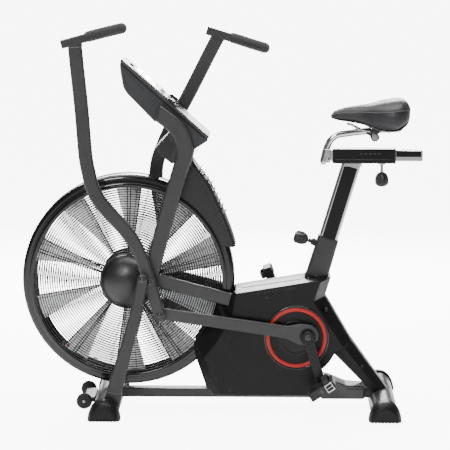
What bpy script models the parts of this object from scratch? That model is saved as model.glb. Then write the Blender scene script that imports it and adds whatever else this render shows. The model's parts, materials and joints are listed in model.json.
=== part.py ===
"""Air-resistance exercise bike with moving handle arms, built as separate jointed sub-parts.

Metres, +Z up, X along the bike (rear is +X), Y across it (the bike's left is -Y).
Dimensions are kept in millimetres and scaled once.
"""
import math

import bmesh
import bpy
from mathutils import Matrix, Vector

for old in list(bpy.data.objects):
    bpy.data.objects.remove(old, do_unlink=True)

MM = 0.001
X_SHIFT = 4.25         # puts the middle of the overall length at X = 0
GAP = 0.3              # clearance between touching pieces

# fan and cage
FAN = (-305.0, 418.0)
CAGE_R = 317.0
BAND_R = 343.0
CAGE_HALF = 57.0
HUB_R = 88.0
HUB_DEPTH = 60.0
BLADES = 10
BLADE_R = 292.0
# drive
CRANK = (238.0, 241.0)
JOURNAL = (36.0, 10.5)       # left journal, from the crank axis; the right one is opposite
PEDAL_OFF = (80.6, -142.5)   # left pedal, from the crank axis
JACK = (110.0, 345.0)
PULLEY_BIG = 84.0
PULLEY_SMALL = 21.0
# handle arms
PIVOT = (-230.0, 430.0)
PIN = (-198.5, 323.5)
ARM_SWING = 32.5             # degrees between the two arms
# layers, distance from the middle plane
Y_FRAME = (76.0, 102.0)
Y_STRUT = (76.0, 93.0)
Y_COVER = 98.0
Y_RING = (98.3, 101.3)
Y_ROD = (110.0, 130.0)
Y_ARM = (134.0, 160.0)
Y_PLATE = (161.5, 166.5)
Y_LEG = (168.0, 196.0)
Y_CRANK = (134.3, 148.0)
Y_PEDAL = (156.0, 246.0)
# base
FRONT_X = -373.0
REAR_X = 518.0
FOOT_Y = (215.0, 267.0)
# seat
SEAT_DIR = Vector((0.289, 0.0, 0.957)).normalized()
SEAT_TOP = (341.0, 552.0)

main = bpy.data.collections.new("exercise_bike")
bpy.context.scene.collection.children.link(main)
cutters = bpy.data.collections.new("cutters")
bpy.context.scene.collection.children.link(cutters)


def material(name, color, rough, metal):
    m = bpy.data.materials.new(name)
    m.use_nodes = True
    b = m.node_tree.nodes["Principled BSDF"]
    b.inputs["Base Color"].default_value = (*color, 1.0)
    b.inputs["Roughness"].default_value = rough
    b.inputs["Metallic"].default_value = metal
    m.diffuse_color = (*color, 1.0)
    return m


def P(x, y, z):
    return Vector(((x + X_SHIFT) * MM, y * MM, z * MM))


def clean(bm):
    bmesh.ops.remove_doubles(bm, verts=bm.verts, dist=1e-6)
    bmesh.ops.dissolve_degenerate(bm, edges=bm.edges, dist=1e-6)
    bmesh.ops.recalc_face_normals(bm, faces=bm.faces)


def prism(pts, y0, y1):
    """Outline in X-Z pushed along Y."""
    bm = bmesh.new()
    vs = [bm.verts.new(P(x, y0, z)) for x, z in pts]
    f = bm.faces.new(vs)
    r = bmesh.ops.extrude_face_region(bm, geom=[f])
    up = [v for v in r["geom"] if isinstance(v, bmesh.types.BMVert)]
    bmesh.ops.translate(bm, verts=up, vec=Vector((0, (y1 - y0) * MM, 0)))
    clean(bm)
    return bm


def prism_xy(pts, z0, z1):
    """Outline in X-Y pushed along Z."""
    bm = bmesh.new()
    vs = [bm.verts.new(P(x, y, z0)) for x, y in pts]
    f = bm.faces.new(vs)
    r = bmesh.ops.extrude_face_region(bm, geom=[f])
    up = [v for v in r["geom"] if isinstance(v, bmesh.types.BMVert)]
    bmesh.ops.translate(bm, verts=up, vec=Vector((0, 0, (z1 - z0) * MM)))
    clean(bm)
    return bm


def circle(x, z, r, n=32, phase=0.0):
    return [(x + r * math.cos(phase + 2 * math.pi * i / n), z + r * math.sin(phase + 2 * math.pi * i / n)) for i in range(n)]


def cyl(x, z, r, y0, y1, n=24):
    return prism(circle(x, z, r, n), y0, y1)


def lathe(profile, x, z, n=32):
    """Closed (radius, y) profile turned about the Y line through (x, z)."""
    bm = bmesh.new()
    vs = [bm.verts.new(P(x + r, y, z)) for r, y in profile]
    es = [bm.edges.new((vs[i], vs[(i + 1) % len(vs)])) for i in range(len(vs))]
    bmesh.ops.spin(bm, geom=vs + es, cent=P(x, 0, z), axis=(0, 1, 0), dvec=(0, 0, 0), angle=2 * math.pi, steps=n, use_merge=True, use_duplicate=False)
    clean(bm)
    return bm


def lathe_dir(profile, base, direction, n=24):
    """Closed (radius, height) profile turned about a line through base along direction."""
    bm = bmesh.new()
    d = Vector(direction).normalized()
    side = d.orthogonal().normalized()
    c = P(*base)
    vs = [bm.verts.new(c + side * (r * MM) + d * (h * MM)) for r, h in profile]
    es = [bm.edges.new((vs[i], vs[(i + 1) % len(vs)])) for i in range(len(vs))]
    bmesh.ops.spin(bm, geom=vs + es, cent=c, axis=d, dvec=(0, 0, 0), angle=2 * math.pi, steps=n, use_merge=True, use_duplicate=False)
    clean(bm)
    return bm


def smooth_path(pts, per):
    """Catmull-Rom samples through points of any dimension."""
    out = []
    n = len(pts)
    for i in range(n - 1):
        p0 = pts[max(i - 1, 0)]
        p1, p2 = pts[i], pts[i + 1]
        p3 = pts[min(i + 2, n - 1)]
        for k in range(per):
            t = k / per
            out.append(tuple(0.5 * (2 * b + (c - a) * t + (2 * a - 5 * b + 4 * c - d) * t * t + (3 * b - a - 3 * c + d) * t ** 3) for a, b, c, d in zip(p0, p1, p2, p3)))
    out.append(tuple(pts[-1]))
    return out


def ribbon(pts, per=3, cap0="flat", cap1="flat", cap_n=6):
    """Outline around a centre line of (x, z, width)."""
    path = smooth_path(pts, per) if per > 1 else list(pts)
    left, right = [], []
    n = len(path)
    tang = []
    for i in range(n):
        a, b = path[max(i - 1, 0)], path[min(i + 1, n - 1)]
        dx, dz = b[0] - a[0], b[1] - a[1]
        d = math.hypot(dx, dz)
        tang.append((dx / d, dz / d))
    for (x, z, w), (tx, tz) in zip(path, tang):
        left.append((x - tz * w / 2, z + tx * w / 2))
        right.append((x + tz * w / 2, z - tx * w / 2))
    end, start = [], []
    if cap1 == "round":
        x, z, w = path[-1]
        a0 = math.atan2(tang[-1][0], -tang[-1][1])
        end = [(x + w / 2 * math.cos(a0 - math.pi * k / cap_n), z + w / 2 * math.sin(a0 - math.pi * k / cap_n)) for k in range(1, cap_n)]
    if cap0 == "round":
        x, z, w = path[0]
        a0 = math.atan2(-tang[0][0], tang[0][1])
        start = [(x + w / 2 * math.cos(a0 - math.pi * k / cap_n), z + w / 2 * math.sin(a0 - math.pi * k / cap_n)) for k in range(1, cap_n)]
    return left + end + right[::-1] + start


def obround(a, b, r, n=8):
    """Outline round two centres."""
    d = math.atan2(b[1] - a[1], b[0] - a[0])
    out = []
    for k in range(n + 1):
        t = d - math.pi / 2 + math.pi * k / n
        out.append((b[0] + r * math.cos(t), b[1] + r * math.sin(t)))
    for k in range(n + 1):
        t = d + math.pi / 2 + math.pi * k / n
        out.append((a[0] + r * math.cos(t), a[1] + r * math.sin(t)))
    return out


def taper_round(a, ra, b, rb, n=8):
    """Outline round two circles of different radius."""
    dx, dz = b[0] - a[0], b[1] - a[1]
    length = math.hypot(dx, dz)
    d = math.atan2(dz, dx)
    off = math.acos((ra - rb) / length)
    out = []
    for k in range(n + 1):
        t = d - off + 2 * off * k / n
        out.append((b[0] + rb * math.cos(t), b[1] + rb * math.sin(t)))
    rest = 2 * math.pi - 2 * off
    for k in range(n + 1):
        t = d + off + rest * k / n
        out.append((a[0] + ra * math.cos(t), a[1] + ra * math.sin(t)))
    return out


def loft(sections, closed_ends=True):
    """Rings of equal count joined in order."""
    bm = bmesh.new()
    rings = [[bm.verts.new(p) for p in s] for s in sections]
    for a, b in zip(rings, rings[1:]):
        for i in range(len(a)):
            j = (i + 1) % len(a)
            bm.faces.new((a[i], a[j], b[j], b[i]))
    if closed_ends:
        bm.faces.new(rings[0][::-1])
        bm.faces.new(rings[-1])
    clean(bm)
    return bm


def tube3d(pts, r, n=10, per=4):
    """Round tube of radius r along a smoothed 3-D centre line, both ends closed."""
    path = [P(*p) for p in (smooth_path(pts, per) if per > 1 else pts)]
    up = Vector((0.0, 0.0, 1.0))
    rings = []
    for i, c in enumerate(path):
        t = (path[min(i + 1, len(path) - 1)] - path[max(i - 1, 0)]).normalized()
        if i == 0:
            u = t.cross(up if abs(t.z) < 0.9 else Vector((0, 1, 0))).normalized()
        else:
            u = (u - t * u.dot(t)).normalized()
        v = t.cross(u)
        rings.append([c + (u * math.cos(2 * math.pi * k / n) + v * math.sin(2 * math.pi * k / n)) * (r * MM) for k in range(n)])
    return loft(rings)


def shaded(me, smooth=True):
    if smooth:
        me.shade_smooth()
        me.set_sharp_from_angle(angle=math.radians(38))


def cutter(name, bm):
    me = bpy.data.meshes.new(name)
    bm.to_mesh(me)
    bm.free()
    ob = bpy.data.objects.new(name, me)
    cutters.objects.link(ob)
    ob.hide_render = True
    ob.display_type = "WIRE"
    return ob


def node(name, bm, mat, origin=None, bevel=0.0, segments=2, angle=40, cuts=(), joins=(), smooth=True):
    """Makes one named object. The mesh is kept about its origin."""
    o = P(*origin) if origin else Vector((0, 0, 0))
    bmesh.ops.translate(bm, verts=bm.verts, vec=-o)
    me = bpy.data.meshes.new(name)
    bm.to_mesh(me)
    bm.free()
    me.materials.append(mat)
    shaded(me, smooth)
    ob = bpy.data.objects.new(name, me)
    ob.location = o
    main.objects.link(ob)
    if bevel:
        m = ob.modifiers.new("edge", "BEVEL")
        m.width = bevel * MM
        m.segments = segments
        m.limit_method = "ANGLE"
        m.angle_limit = math.radians(angle)
    for k, c in enumerate(joins):
        m = ob.modifiers.new(f"join{k}", "BOOLEAN")
        m.operation = "UNION"
        m.solver = "EXACT"
        m.object = c
    for k, c in enumerate(cuts):
        m = ob.modifiers.new(f"cut{k}", "BOOLEAN")
        m.operation = "DIFFERENCE"
        m.solver = "EXACT"
        m.object = c
    return ob


# ---------------------------------------------------------------- materials
FRAME_BLACK = (0.035, 0.036, 0.038)
MATS = {}


def mat(name, color, rough, metal):
    MATS[name] = material(name, color, rough, metal)
    return MATS[name]


def painted(name):
    return mat(name, FRAME_BLACK, 0.38, 0.0)


def plastic(name, c=(0.022, 0.022, 0.024), r=0.42):
    return mat(name, c, r, 0.0)


def chrome(name):
    return mat(name, (0.82, 0.82, 0.83), 0.1, 1.0)


def steel(name):
    return mat(name, (0.45, 0.45, 0.46), 0.3, 1.0)


SIDES = (("left", -1), ("right", 1))


def ys(s, pair):
    """A layer on side s, low value first."""
    a, b = s * pair[0], s * pair[1]
    return (min(a, b), max(a, b))


# ---------------------------------------------------------------- base
D_TUBE = [(-42, 8), (-42.5, 18), (-40.5, 30), (-35, 42), (-25, 52.5), (-13, 59.5), (0, 61.5), (13, 59.5), (25, 52.5), (35, 42), (40.5, 30), (42.5, 18), (42, 8)]


def grown(pts, d, cx=0.0, cz=30.0):
    out = []
    for x, z in pts:
        L = math.hypot(x - cx, z - cz)
        out.append((x + (x - cx) / L * d, z + (z - cz) / L * d))
    return out


for nm, cx in (("front", FRONT_X), ("rear", REAR_X)):
    node(f"{nm}_stabiliser", prism([(cx + x, z) for x, z in D_TUBE], -214.7, 214.7), painted(f"{nm}_stabiliser_paint"))
D_CUT_FRONT = cutter("d_front", prism([(FRONT_X + x, z) for x, z in grown(D_TUBE, 0.5)], -213, 213))
D_CUT_REAR = cutter("d_rear", prism([(REAR_X + x, z) for x, z in grown(D_TUBE, 0.5)], -213, 213))

CAP = [(-52.5, 0), (-52.5, 7), (-50, 20), (-44.5, 36), (-36, 50), (-25, 60), (-12, 66), (0, 68), (12, 66), (25, 60), (36, 50), (44.5, 36), (50, 20), (52.5, 7), (52.5, 0)]
for nm, cx in (("front", FRONT_X), ("rear", REAR_X)):
    for side, s in SIDES:
        y = ys(s, FOOT_Y)
        node(f"foot_cap_{nm}_{side}", prism([(cx + x, z) for x, z in CAP], *y), mat(f"foot_cap_{nm}_{side}_rubber", (0.03, 0.03, 0.032), 0.6, 0.0), bevel=4.0, segments=1, angle=50)

rail = prism([(-366, 28), (512, 28), (512, 57), (-366, 57)], -25, 25)
SKIRT = cutter("skirt_body", prism([(319.5, 27), (319.5, 101), (327, 101), (398, 74), (460, 70), (460, 27)], -44, 44))
node("base_rail", rail, painted("base_rail_paint"), joins=[SKIRT], cuts=[D_CUT_FRONT, D_CUT_REAR])

# ---------------------------------------------------------------- covers
# outline low on the sides (base) and the edge of the flat side face (ridge)
FRONT_ARC_IN = [(FAN[0] + 292 * math.cos(math.radians(a)), FAN[1] + 292 * math.sin(math.radians(a))) for a in (-10, -17, -24, -31, -38, -44)]
FRONT_ARC_OUT = [(FAN[0] + 345 * math.cos(math.radians(a)), FAN[1] + 345 * math.sin(math.radians(a))) for a in (-22.5, -28, -33, -38, -42, -45)]
BOSS = [(CRANK[0] + 134 * math.cos(math.radians(a)), CRANK[1] + 134 * math.sin(math.radians(a))) for a in (-28, -36, -44, -52)]
BASE_LINE = [
    (36, 386, 70), (60, 390.5, 29), (258, 421.5, 29), (328, 432, 29), (349.5, 430.5, 40), (330, 368, 42), (416, 222, 42), (361, 187, 90),
] + [(x, z, 88) for x, z in BOSS] + [
    (317, 104, 84), (310, 46, 84), (-30, 45.5, 72), (-52, 68.5, 66), (-89, 176, 62.8),
] + [(x, z, 62.8) for x, z in FRONT_ARC_IN[::-1]]
RIDGE_LINE = [
    (44, 384), (62, 387), (248, 418), (300, 426), (314, 423), (293, 360), (393, 207), (359, 189),
] + [(CRANK[0] + 130 * math.cos(math.radians(a)), CRANK[1] + 130 * math.sin(math.radians(a))) for a in (-28, -36, -44, -52)] + [
    (309, 104), (300, 52), (-2, 52), (-22, 74), (-55, 168),
] + FRONT_ARC_OUT[::-1]
RIDGE_LINE[-1] = (25, 284)


def cover_body(s):
    n = len(BASE_LINE)
    bm = bmesh.new()
    mid = [bm.verts.new(P(x, s * 0.3, z)) for x, z, _ in BASE_LINE]
    low = [bm.verts.new(P(x, s * y, z)) for x, z, y in BASE_LINE]
    top = [bm.verts.new(P(x, s * Y_COVER, z)) for x, z in RIDGE_LINE]
    for i in range(n):
        j = (i + 1) % n
        bm.faces.new((mid[i], mid[j], low[j], low[i]))
        bm.faces.new((low[i], low[j], top[j], top[i]))
    bm.faces.new(mid)
    bm.faces.new(top)
    clean(bm)
    return bm


INNER = [
    (50, 380), (64, 383), (250, 413), (298, 420), (304, 412), (286, 358), (376, 214), (354, 196),
] + [(CRANK[0] + 124 * math.cos(math.radians(a)), CRANK[1] + 124 * math.sin(math.radians(a))) for a in (-28, -36, -44, -52)] + [
    (303, 104), (296, 58), (0, 58), (-16, 78), (-46, 158),
] + [(FAN[0] + 353 * math.cos(math.radians(a)), FAN[1] + 353 * math.sin(math.radians(a))) for a in (-42, -38, -33, -28, -22.5)] + [(31, 285)]

FAN_CUT = cutter("fan_clear", lathe([(0, -62.3), (348, -62.3), (348, 62.3), (0, 62.3)], *FAN, n=72))
STRUT_LINE = [(-219, 427), (27, 362), (150, 329.5)]
sdx, sdz = 27 + 219, 362 - 427
sl = math.hypot(sdx, sdz)
sux, suz = sdx / sl, sdz / sl


def along(t, h):
    return (-219 + sux * t - suz * h, 427 + suz * t + sux * h)


for side, s in SIDES:
    hollow = cutter(f"cover_hollow_{side}", prism(INNER, *sorted((-s * 1.0, s * 93.5))))
    slot = cutter(f"strut_slot_{side}", prism([along(150, -22.5), along(330, -22.5), along(330, 22.5), along(150, 22.5)], *sorted((s * 74.5, s * 95.5))))
    slot2 = cutter(f"strut_gate_{side}", prism([along(150, -22.5), along(252, -22.5), along(252, 22.5), along(150, 22.5)], *sorted((s * 74.5, s * 120.0))))
    axle_hole = cutter(f"cover_axle_hole_{side}", cyl(*CRANK, 34, *sorted((s * 60, s * 120)), 32))
    rail_slot = cutter(f"cover_rail_slot_{side}", prism([(-120, 20), (340, 20), (340, 58.5), (-120, 58.5)], *sorted((-s * 5.0, s * 26))))
    seat_hole = cutter(f"cover_seat_hole_{side}", prism([(232, 300), (322, 300), (325, 350), (328.3, 380), (331, 396), (337, 399), (344, 436), (350, 460), (262, 470), (254, 400), (244, 380)], *sorted((-s * 5.0, s * 31))))
    base_open = cutter(f"cover_base_open_{side}", prism([(6, 30), (290, 30), (290, 62), (6, 62)], *sorted((-s * 5.0, s * 64))))
    cuts = [hollow, slot, slot2, axle_hole, rail_slot, seat_hole, base_open, FAN_CUT]
    if s > 0:
        cuts.append(cutter("belt_gate", prism([(-60, 404), (90, 377), (90, 318), (-60, 340)], 60.5, 75.5)))
    node(f"cover_{side}", cover_body(s), plastic(f"cover_{side}_plastic", r=0.4), cuts=cuts)
    y = ys(s, Y_RING)
    node(f"accent_ring_{side}", lathe([(85.5, y[0]), (98, y[0]), (98, y[1]), (85.5, y[1])], *CRANK, n=36), mat(f"accent_ring_{side}_red", (0.62, 0.035, 0.025), 0.35, 0.0))

# rear leg, a tapering six-sided casing from the covers down to the rear stabiliser
def leg_section(front, ridge, rear, yf, yr, yb):
    pts = [(front, -yf), (ridge, -yr), (rear, -yb), (rear, yb), (ridge, yr), (front, yf)]
    return [P(p[0], y, p[1]) for p, y in pts]


node("rear_leg", loft([
    leg_section((361.5, 186.0), (393.2, 206.2), (416.6, 221.2), 88, 97, 42),
    leg_section((502, 34), (522, 38), (546, 43), 44, 47, 27),
]), painted("rear_leg_paint"), cuts=[D_CUT_REAR, cutter("leg_rail_clear", prism([(300, 20), (520, 20), (520, 57.6), (300, 57.6)], -25.6, 25.6))])

# ---------------------------------------------------------------- frame tubes
LEG_LINE = [(-357, 22, 50), (-341, 89, 49), (-299, 238, 38.5), (-264, 377, 33), (-251, 443, 34)]
MAST_LINE = [(-232, 430, 46), (-201, 552, 48), (-168, 668, 49.5), (-134.5, 783, 50.5), (-122, 818, 51), (-119, 852, 51), (-128, 887, 51), (-150, 920, 51), (-176, 943, 50), (-194, 956.5, 49)]
MAST_OUTLINE = ribbon(MAST_LINE, 2, "round", "flat")
mast_turn = 2 * (len(MAST_LINE) - 1) + 1
MAST_OUTLINE[mast_turn - 2:mast_turn + 2] = [(-213, 939.5), (-197, 990)]   # slanted upper end
STRUT = [along(0, -21), along(252, -21), (150, 309), (184, 301), (184, 391), (150, 391), (142, 352), along(252, 21), along(0, 21)]
for side, s in SIDES:
    node(f"front_leg_{side}", prism(ribbon(LEG_LINE, 2, "flat", "round"), *ys(s, Y_LEG)), painted(f"front_leg_{side}_paint"), bevel=5, segments=1, angle=60, cuts=[D_CUT_FRONT])
    strut = cutter(f"strut_{side}", prism(STRUT, *ys(s, Y_STRUT)))
    node(f"side_frame_{side}", prism(MAST_OUTLINE, *ys(s, Y_FRAME)), painted(f"side_frame_{side}_paint"), bevel=6, segments=1, angle=60, joins=[strut])
    # pivot bracket: inner plate out to the fan axle, the arm's pivot pin, outer plate to the leg
    pa, pb = ys(s, (102.5, 107.5)), ys(s, Y_PLATE)
    pin_bm = lathe([(0, s * 103.5), (17, s * 103.5), (17, s * 133.4), (8.5, s * 133.4), (8.5, s * 164), (7, s * 167), (7, s * 171), (4.5, s * 173.5), (0, s * 173.5)], *PIVOT, n=14)
    inner_plate = cutter(f"axle_plate_{side}", prism(taper_round(PIVOT, 24, FAN, 18), *pa))
    outer_plate = cutter(f"leg_plate_{side}", prism(obround(PIVOT, (-251, 443), 17.5), *pb))
    axle_bore = cutter(f"axle_bore_{side}", cyl(*FAN, 9.4, *sorted((s * 95, s * 115)), 16))
    node(f"pivot_bracket_{side}", pin_bm, painted(f"pivot_bracket_{side}_paint"), origin=(PIVOT[0], 0, PIVOT[1]), joins=[inner_plate, outer_plate], cuts=[axle_bore])

# inner frame: a bridge between the side frames, the tube back to the seat tube, and the jackshaft bearing
bridge = prism([(150, 362), (182, 362), (182, 391), (150, 391)], -75.6, 75.6)
toptube = cutter("top_tube", prism([(170, 364), (247.4, 364), (254.9, 389), (170, 389)], -18, 18))
drop = cutter("bearing_drop", prism([(95, 330), (125, 330), (160, 370), (160, 391), (130, 391)], -18, 18))
boss = cutter("bearing_boss", cyl(*JACK, 24, -18, 30, 24))
jbore = cutter("bearing_bore", cyl(*JACK, 8.4, -40, 60, 20))
node("inner_frame", bridge, painted("inner_frame_paint"), joins=[toptube, drop, boss], cuts=[jbore])

# seat tube: tapered sleeve above the covers and a plain tube down to the base rail
def seat_axis(h):
    """Point on the seat tube axis, h along it from the sleeve's top."""
    return (SEAT_TOP[0] + SEAT_DIR.x * h, SEAT_TOP[1] + SEAT_DIR.z * h)


def seat_section(h, hw, hy, c=7.0):
    x, z = seat_axis(h)
    ux, uz = SEAT_DIR.z, -SEAT_DIR.x
    pts = []
    for a, b in ((-hw, -hy + c), (-hw + c * 0.3, -hy + c * 0.3), (-hw + c, -hy), (hw - c, -hy), (hw - c * 0.3, -hy + c * 0.3), (hw, -hy + c),
                 (hw, hy - c), (hw - c * 0.3, hy - c * 0.3), (hw - c, hy), (-hw + c, hy), (-hw + c * 0.3, hy - c * 0.3), (-hw, hy - c)):
        pts.append(P(x + ux * a, b, z + uz * a))
    return pts


tube_bm = loft([seat_section(-560, 27, 24), seat_section(-252, 27, 24), seat_section(-244, 34.2, 24), seat_section(-166, 34.2, 24), seat_section(-160, 35.5, 27), seat_section(-126, 35.5, 28), seat_section(0, 33.5, 24)])
pocket = cutter("post_pocket", loft([seat_section(-236, 30.4, 18.4, 6), seat_section(20, 30.4, 18.4, 6)]))
foot_cut = cutter("seat_tube_foot", prism([(60, -60), (420, -60), (420, 57.4), (60, 57.4)], -60, 60))
axle_cut = cutter("bottom_bracket_bore", cyl(*CRANK, 10.5, -60, 60, 24))
knob_bore_dir = Vector((-SEAT_DIR.z, 0, SEAT_DIR.x))
kb = seat_axis(-27)
knob_bore = cutter("knob_bore", lathe_dir([(0, -4), (5.4, -4), (5.4, 60), (0, 60)], (kb[0] + knob_bore_dir.x * 26, 0, kb[1] + knob_bore_dir.z * 26), knob_bore_dir, 16))
knob_boss = cutter("knob_boss", lathe_dir([(0, 30), (11.5, 30), (11.5, 50), (0, 50)], (kb[0], 0, kb[1]), knob_bore_dir, 16))
node("seat_tube", tube_bm, painted("seat_tube_paint"), joins=[knob_boss], cuts=[pocket, foot_cut, axle_cut, knob_bore])

# ---------------------------------------------------------------- fan and cage
def cage_dish(s):
    """Thin disc with raised rings and spokes, in place of close rings of wire."""
    radii = [12, 90, 160, 164, 230, 234, 299, CAGE_R]
    spokes = 16
    ang = []
    for k in range(spokes):
        a = 2 * math.pi * k / spokes
        ang += [a - 0.012, a + 0.012]
    bm = bmesh.new()
    y = s * (CAGE_HALF + GAP)
    grid = [[bm.verts.new(P(FAN[0] + r * math.cos(a), y, FAN[1] + r * math.sin(a))) for a in ang] for r in radii]
    n = len(ang)
    cells = []
    for i in range(len(radii) - 1):
        for j in range(n):
            cells.append((i % 2 == 1 and j % 2 == 1, bm.faces.new((grid[i][j], grid[i][(j + 1) % n], grid[i + 1][(j + 1) % n], grid[i + 1][j]))))
    centres = [(panel, f.calc_center_median()) for panel, f in cells]
    r = bmesh.ops.extrude_face_region(bm, geom=[f for _, f in cells])
    bmesh.ops.translate(bm, verts=[v for v in r["geom"] if isinstance(v, bmesh.types.BMVert)], vec=Vector((0, s * 1.2 * MM, 0)))
    high = [f for f in r["geom"] if isinstance(f, bmesh.types.BMFace)]
    proud = [f for f in high if not min(centres, key=lambda c: (Vector((c[1].x, 0, c[1].z)) - Vector((f.calc_center_median().x, 0, f.calc_center_median().z))).length)[0]]
    r = bmesh.ops.extrude_face_region(bm, geom=proud)
    bmesh.ops.translate(bm, verts=[v for v in r["geom"] if isinstance(v, bmesh.types.BMVert)], vec=Vector((0, s * 1.4 * MM, 0)))
    bmesh.ops.delete(bm, geom=proud, context="FACES_ONLY")
    clean(bm)
    return bm


for side, s in SIDES:
    node(f"cage_{side}", cage_dish(s), painted(f"cage_{side}_wire"), smooth=False)
node("cage_band", lathe([(318, -56.7), (335, -50.5), (BAND_R, -32), (BAND_R, 32), (335, 50.5), (318, 56.7), (309, 56.7), (309, 53.0), (330.5, 47), (338.5, 31), (338.5, -31), (330.5, -47), (309, -53.0), (309, -56.7)], *FAN, n=40), plastic("cage_band_paint", r=0.3))

for side, s in SIDES:
    n = 5
    outer = [(HUB_R * math.cos(math.pi / 2 * k / n), 60.2 + 3 + (HUB_DEPTH - 3) * math.sin(math.pi / 2 * k / n)) for k in range(n + 1)]
    inner = [((HUB_R - 3.2) * math.cos(math.pi / 2 * k / n), 60.2 + 3 + (HUB_DEPTH - 6.2) * math.sin(math.pi / 2 * k / n)) for k in range(n + 1)]
    prof = [(HUB_R + 3, 60.2), (HUB_R + 3, 62.6)] + outer + inner[::-1] + [(HUB_R - 3.2, 60.2)]
    prof = [(max(r, 0.0), s * y) for r, y in prof]
    cut_a = cutter(f"hub_notch_{side}", prism([(-262, 300), (-180, 300), (-180, 520), (-262, 520)], *sorted((s * 74, s * 140))))
    cut_b = cutter(f"hub_slot_{side}", prism([(-304, 393), (-180, 371), (-180, 447), (-304, 447)], *sorted((s * 62.9, s * 112))))
    node(f"hub_cap_{side}", lathe(prof, *FAN, n=28), mat(f"hub_cap_{side}_gloss", (0.012, 0.012, 0.013), 0.12, 0.0), cuts=[cut_a, cut_b])

# fan: paddle blades drawn out of the rim of a drum
def fan_rotor():
    n = BLADES * 3
    drum = prism(circle(*FAN, 46, n, math.pi / n), -40, 40)
    drum.faces.ensure_lookup_table()
    rims = [f for f in drum.faces if len(f.verts) == 4]
    c = P(FAN[0], 0, FAN[1])
    rims.sort(key=lambda f: math.atan2(f.calc_center_median().z - c.z, f.calc_center_median().x - c.x))
    chosen = [f for i, f in enumerate(rims) if i % 3 == 1]
    bm = drum
    for f in chosen:
        r = bmesh.ops.inset_individual(bm, faces=[f], thickness=1.0 * MM, depth=0.0)
        mid = f.calc_center_median()
        radial = Vector((mid.x - c.x, 0, mid.z - c.z)).normalized()
        across = radial.cross(Vector((0, 1, 0)))
        pitch = math.radians(33)
        # the root becomes a thin slanted strip
        corners = [v for v in f.verts]
        for v in corners:
            ya = 1 if v.co.y > 0 else -1
            xa = 1 if (v.co - mid).dot(across) > 0 else -1
            span, thick = 7.0, 1.6
            off_y = ya * span * math.cos(pitch) - xa * thick * math.sin(pitch)
            off_x = ya * span * math.sin(pitch) * 0.4 + xa * thick * math.cos(pitch)
            v.co = mid + Vector((0, off_y * MM, 0)) + across * (max(-3.6, min(3.6, off_x)) * MM)
        e = bmesh.ops.extrude_discrete_faces(bm, faces=[f])
        tip = e["faces"][0]
        root_mid = mid
        tips = list(tip.verts)
        tips.sort(key=lambda v: v.co.y)
        low = sorted(tips[:2], key=lambda v: (v.co - root_mid).dot(across))
        high = sorted(tips[2:], key=lambda v: (v.co - root_mid).dot(across))
        width = 27.0
        for pair, ya in ((low, -1), (high, 1)):
            for v, xa in zip(pair, (-1, 1)):
                v.co = c + radial * (BLADE_R * MM) + Vector((0, ya * 38 * MM, 0)) + across * ((ya * width + xa * 1.3) * MM)
    clean(bm)
    return bm


node("fan_rotor", fan_rotor(), mat("fan_rotor_paint", (0.5, 0.5, 0.51), 0.45, 0.2), origin=(FAN[0], 0, FAN[1]), cuts=[cutter("rotor_bore", cyl(*FAN, 9.3, -60, 60, 20))], smooth=False)
node("fan_shaft", lathe([(0, -113), (9, -113), (9, 62.8), (PULLEY_SMALL + 3, 62.8), (PULLEY_SMALL + 3, 63.8), (PULLEY_SMALL, 63.8), (PULLEY_SMALL, 72.2), (PULLEY_SMALL + 3, 72.2), (PULLEY_SMALL + 3, 73.2), (9, 73.2), (9, 113), (0, 113)], *FAN, n=14), steel("fan_shaft_steel"), origin=(FAN[0], 0, FAN[1]))

# wind guard between cage and rider, open towards the cage, with louvre fins on its back edge
BACK = [(-105, 826), (-91, 799), (-68, 768), (-43, 733), (-25.5, 697), (-8.5, 661), (8.5, 624), (28, 574), (41.5, 530)]


def back_point(t):
    """Point at fraction t of the back edge's length, with its outward normal."""
    seg = [math.dist(a, b) for a, b in zip(BACK, BACK[1:])]
    total = sum(seg)
    d = t * total
    for (a, b), L in zip(zip(BACK, BACK[1:]), seg):
        if d <= L:
            f = d / L
            tx, tz = (b[0] - a[0]) / L, (b[1] - a[1]) / L
            return (a[0] + tx * d, a[1] + tz * d), (-tz, tx)
        d -= L
    return BACK[-1], (1, 0)


guard_back = [BACK[0], BACK[1]]
FINS = 9
for k in range(FINS):
    t = 0.185 + k * 0.0605
    (x, z), (nx, nz) = back_point(t)
    (x2, z2), _ = back_point(t + 0.009)
    guard_back += [(x, z), (x + nx * 3.4, z + nz * 3.4), (x2 + nx * 3.4, z2 + nz * 3.4), (x2, z2)]
guard_back += [BACK[7], BACK[8]]
GUARD_IN = [(FAN[0] + 322 * math.cos(math.radians(a)), FAN[1] + 322 * math.sin(math.radians(a))) for a in (20.8, 28, 35, 42, 49, 56, 63.5)]
guard_outline = guard_back + GUARD_IN + [(-134, 790)]
guard_hollow = [(-108, 815), (-94.5, 795.5), (-71.5, 764.5), (-47, 730), (-29.5, 694.5), (-12.5, 658.5), (4.5, 621.5), (24, 572), (40.5, 518), (-60, 500), (-200, 640), (-190, 760), (-134, 772)]
node("wind_guard", prism(guard_outline, -62.8, 62.8), plastic("wind_guard_plastic", r=0.45), cuts=[cutter("guard_hollow", prism(guard_hollow, -59.7, 59.7))], smooth=False)

# ---------------------------------------------------------------- console
PLATE_A, PLATE_B = (-319, 1135), (-40.7, 887.1)
pl = math.dist(PLATE_A, PLATE_B)
pux, puz = (PLATE_B[0] - PLATE_A[0]) / pl, (PLATE_B[1] - PLATE_A[1]) / pl
pnx, pnz = -puz, pux      # out of the face, towards the rider


def plate_pt(t, h):
    return (PLATE_A[0] + pux * t + pnx * h, PLATE_A[1] + puz * t + pnz * h)


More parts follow.
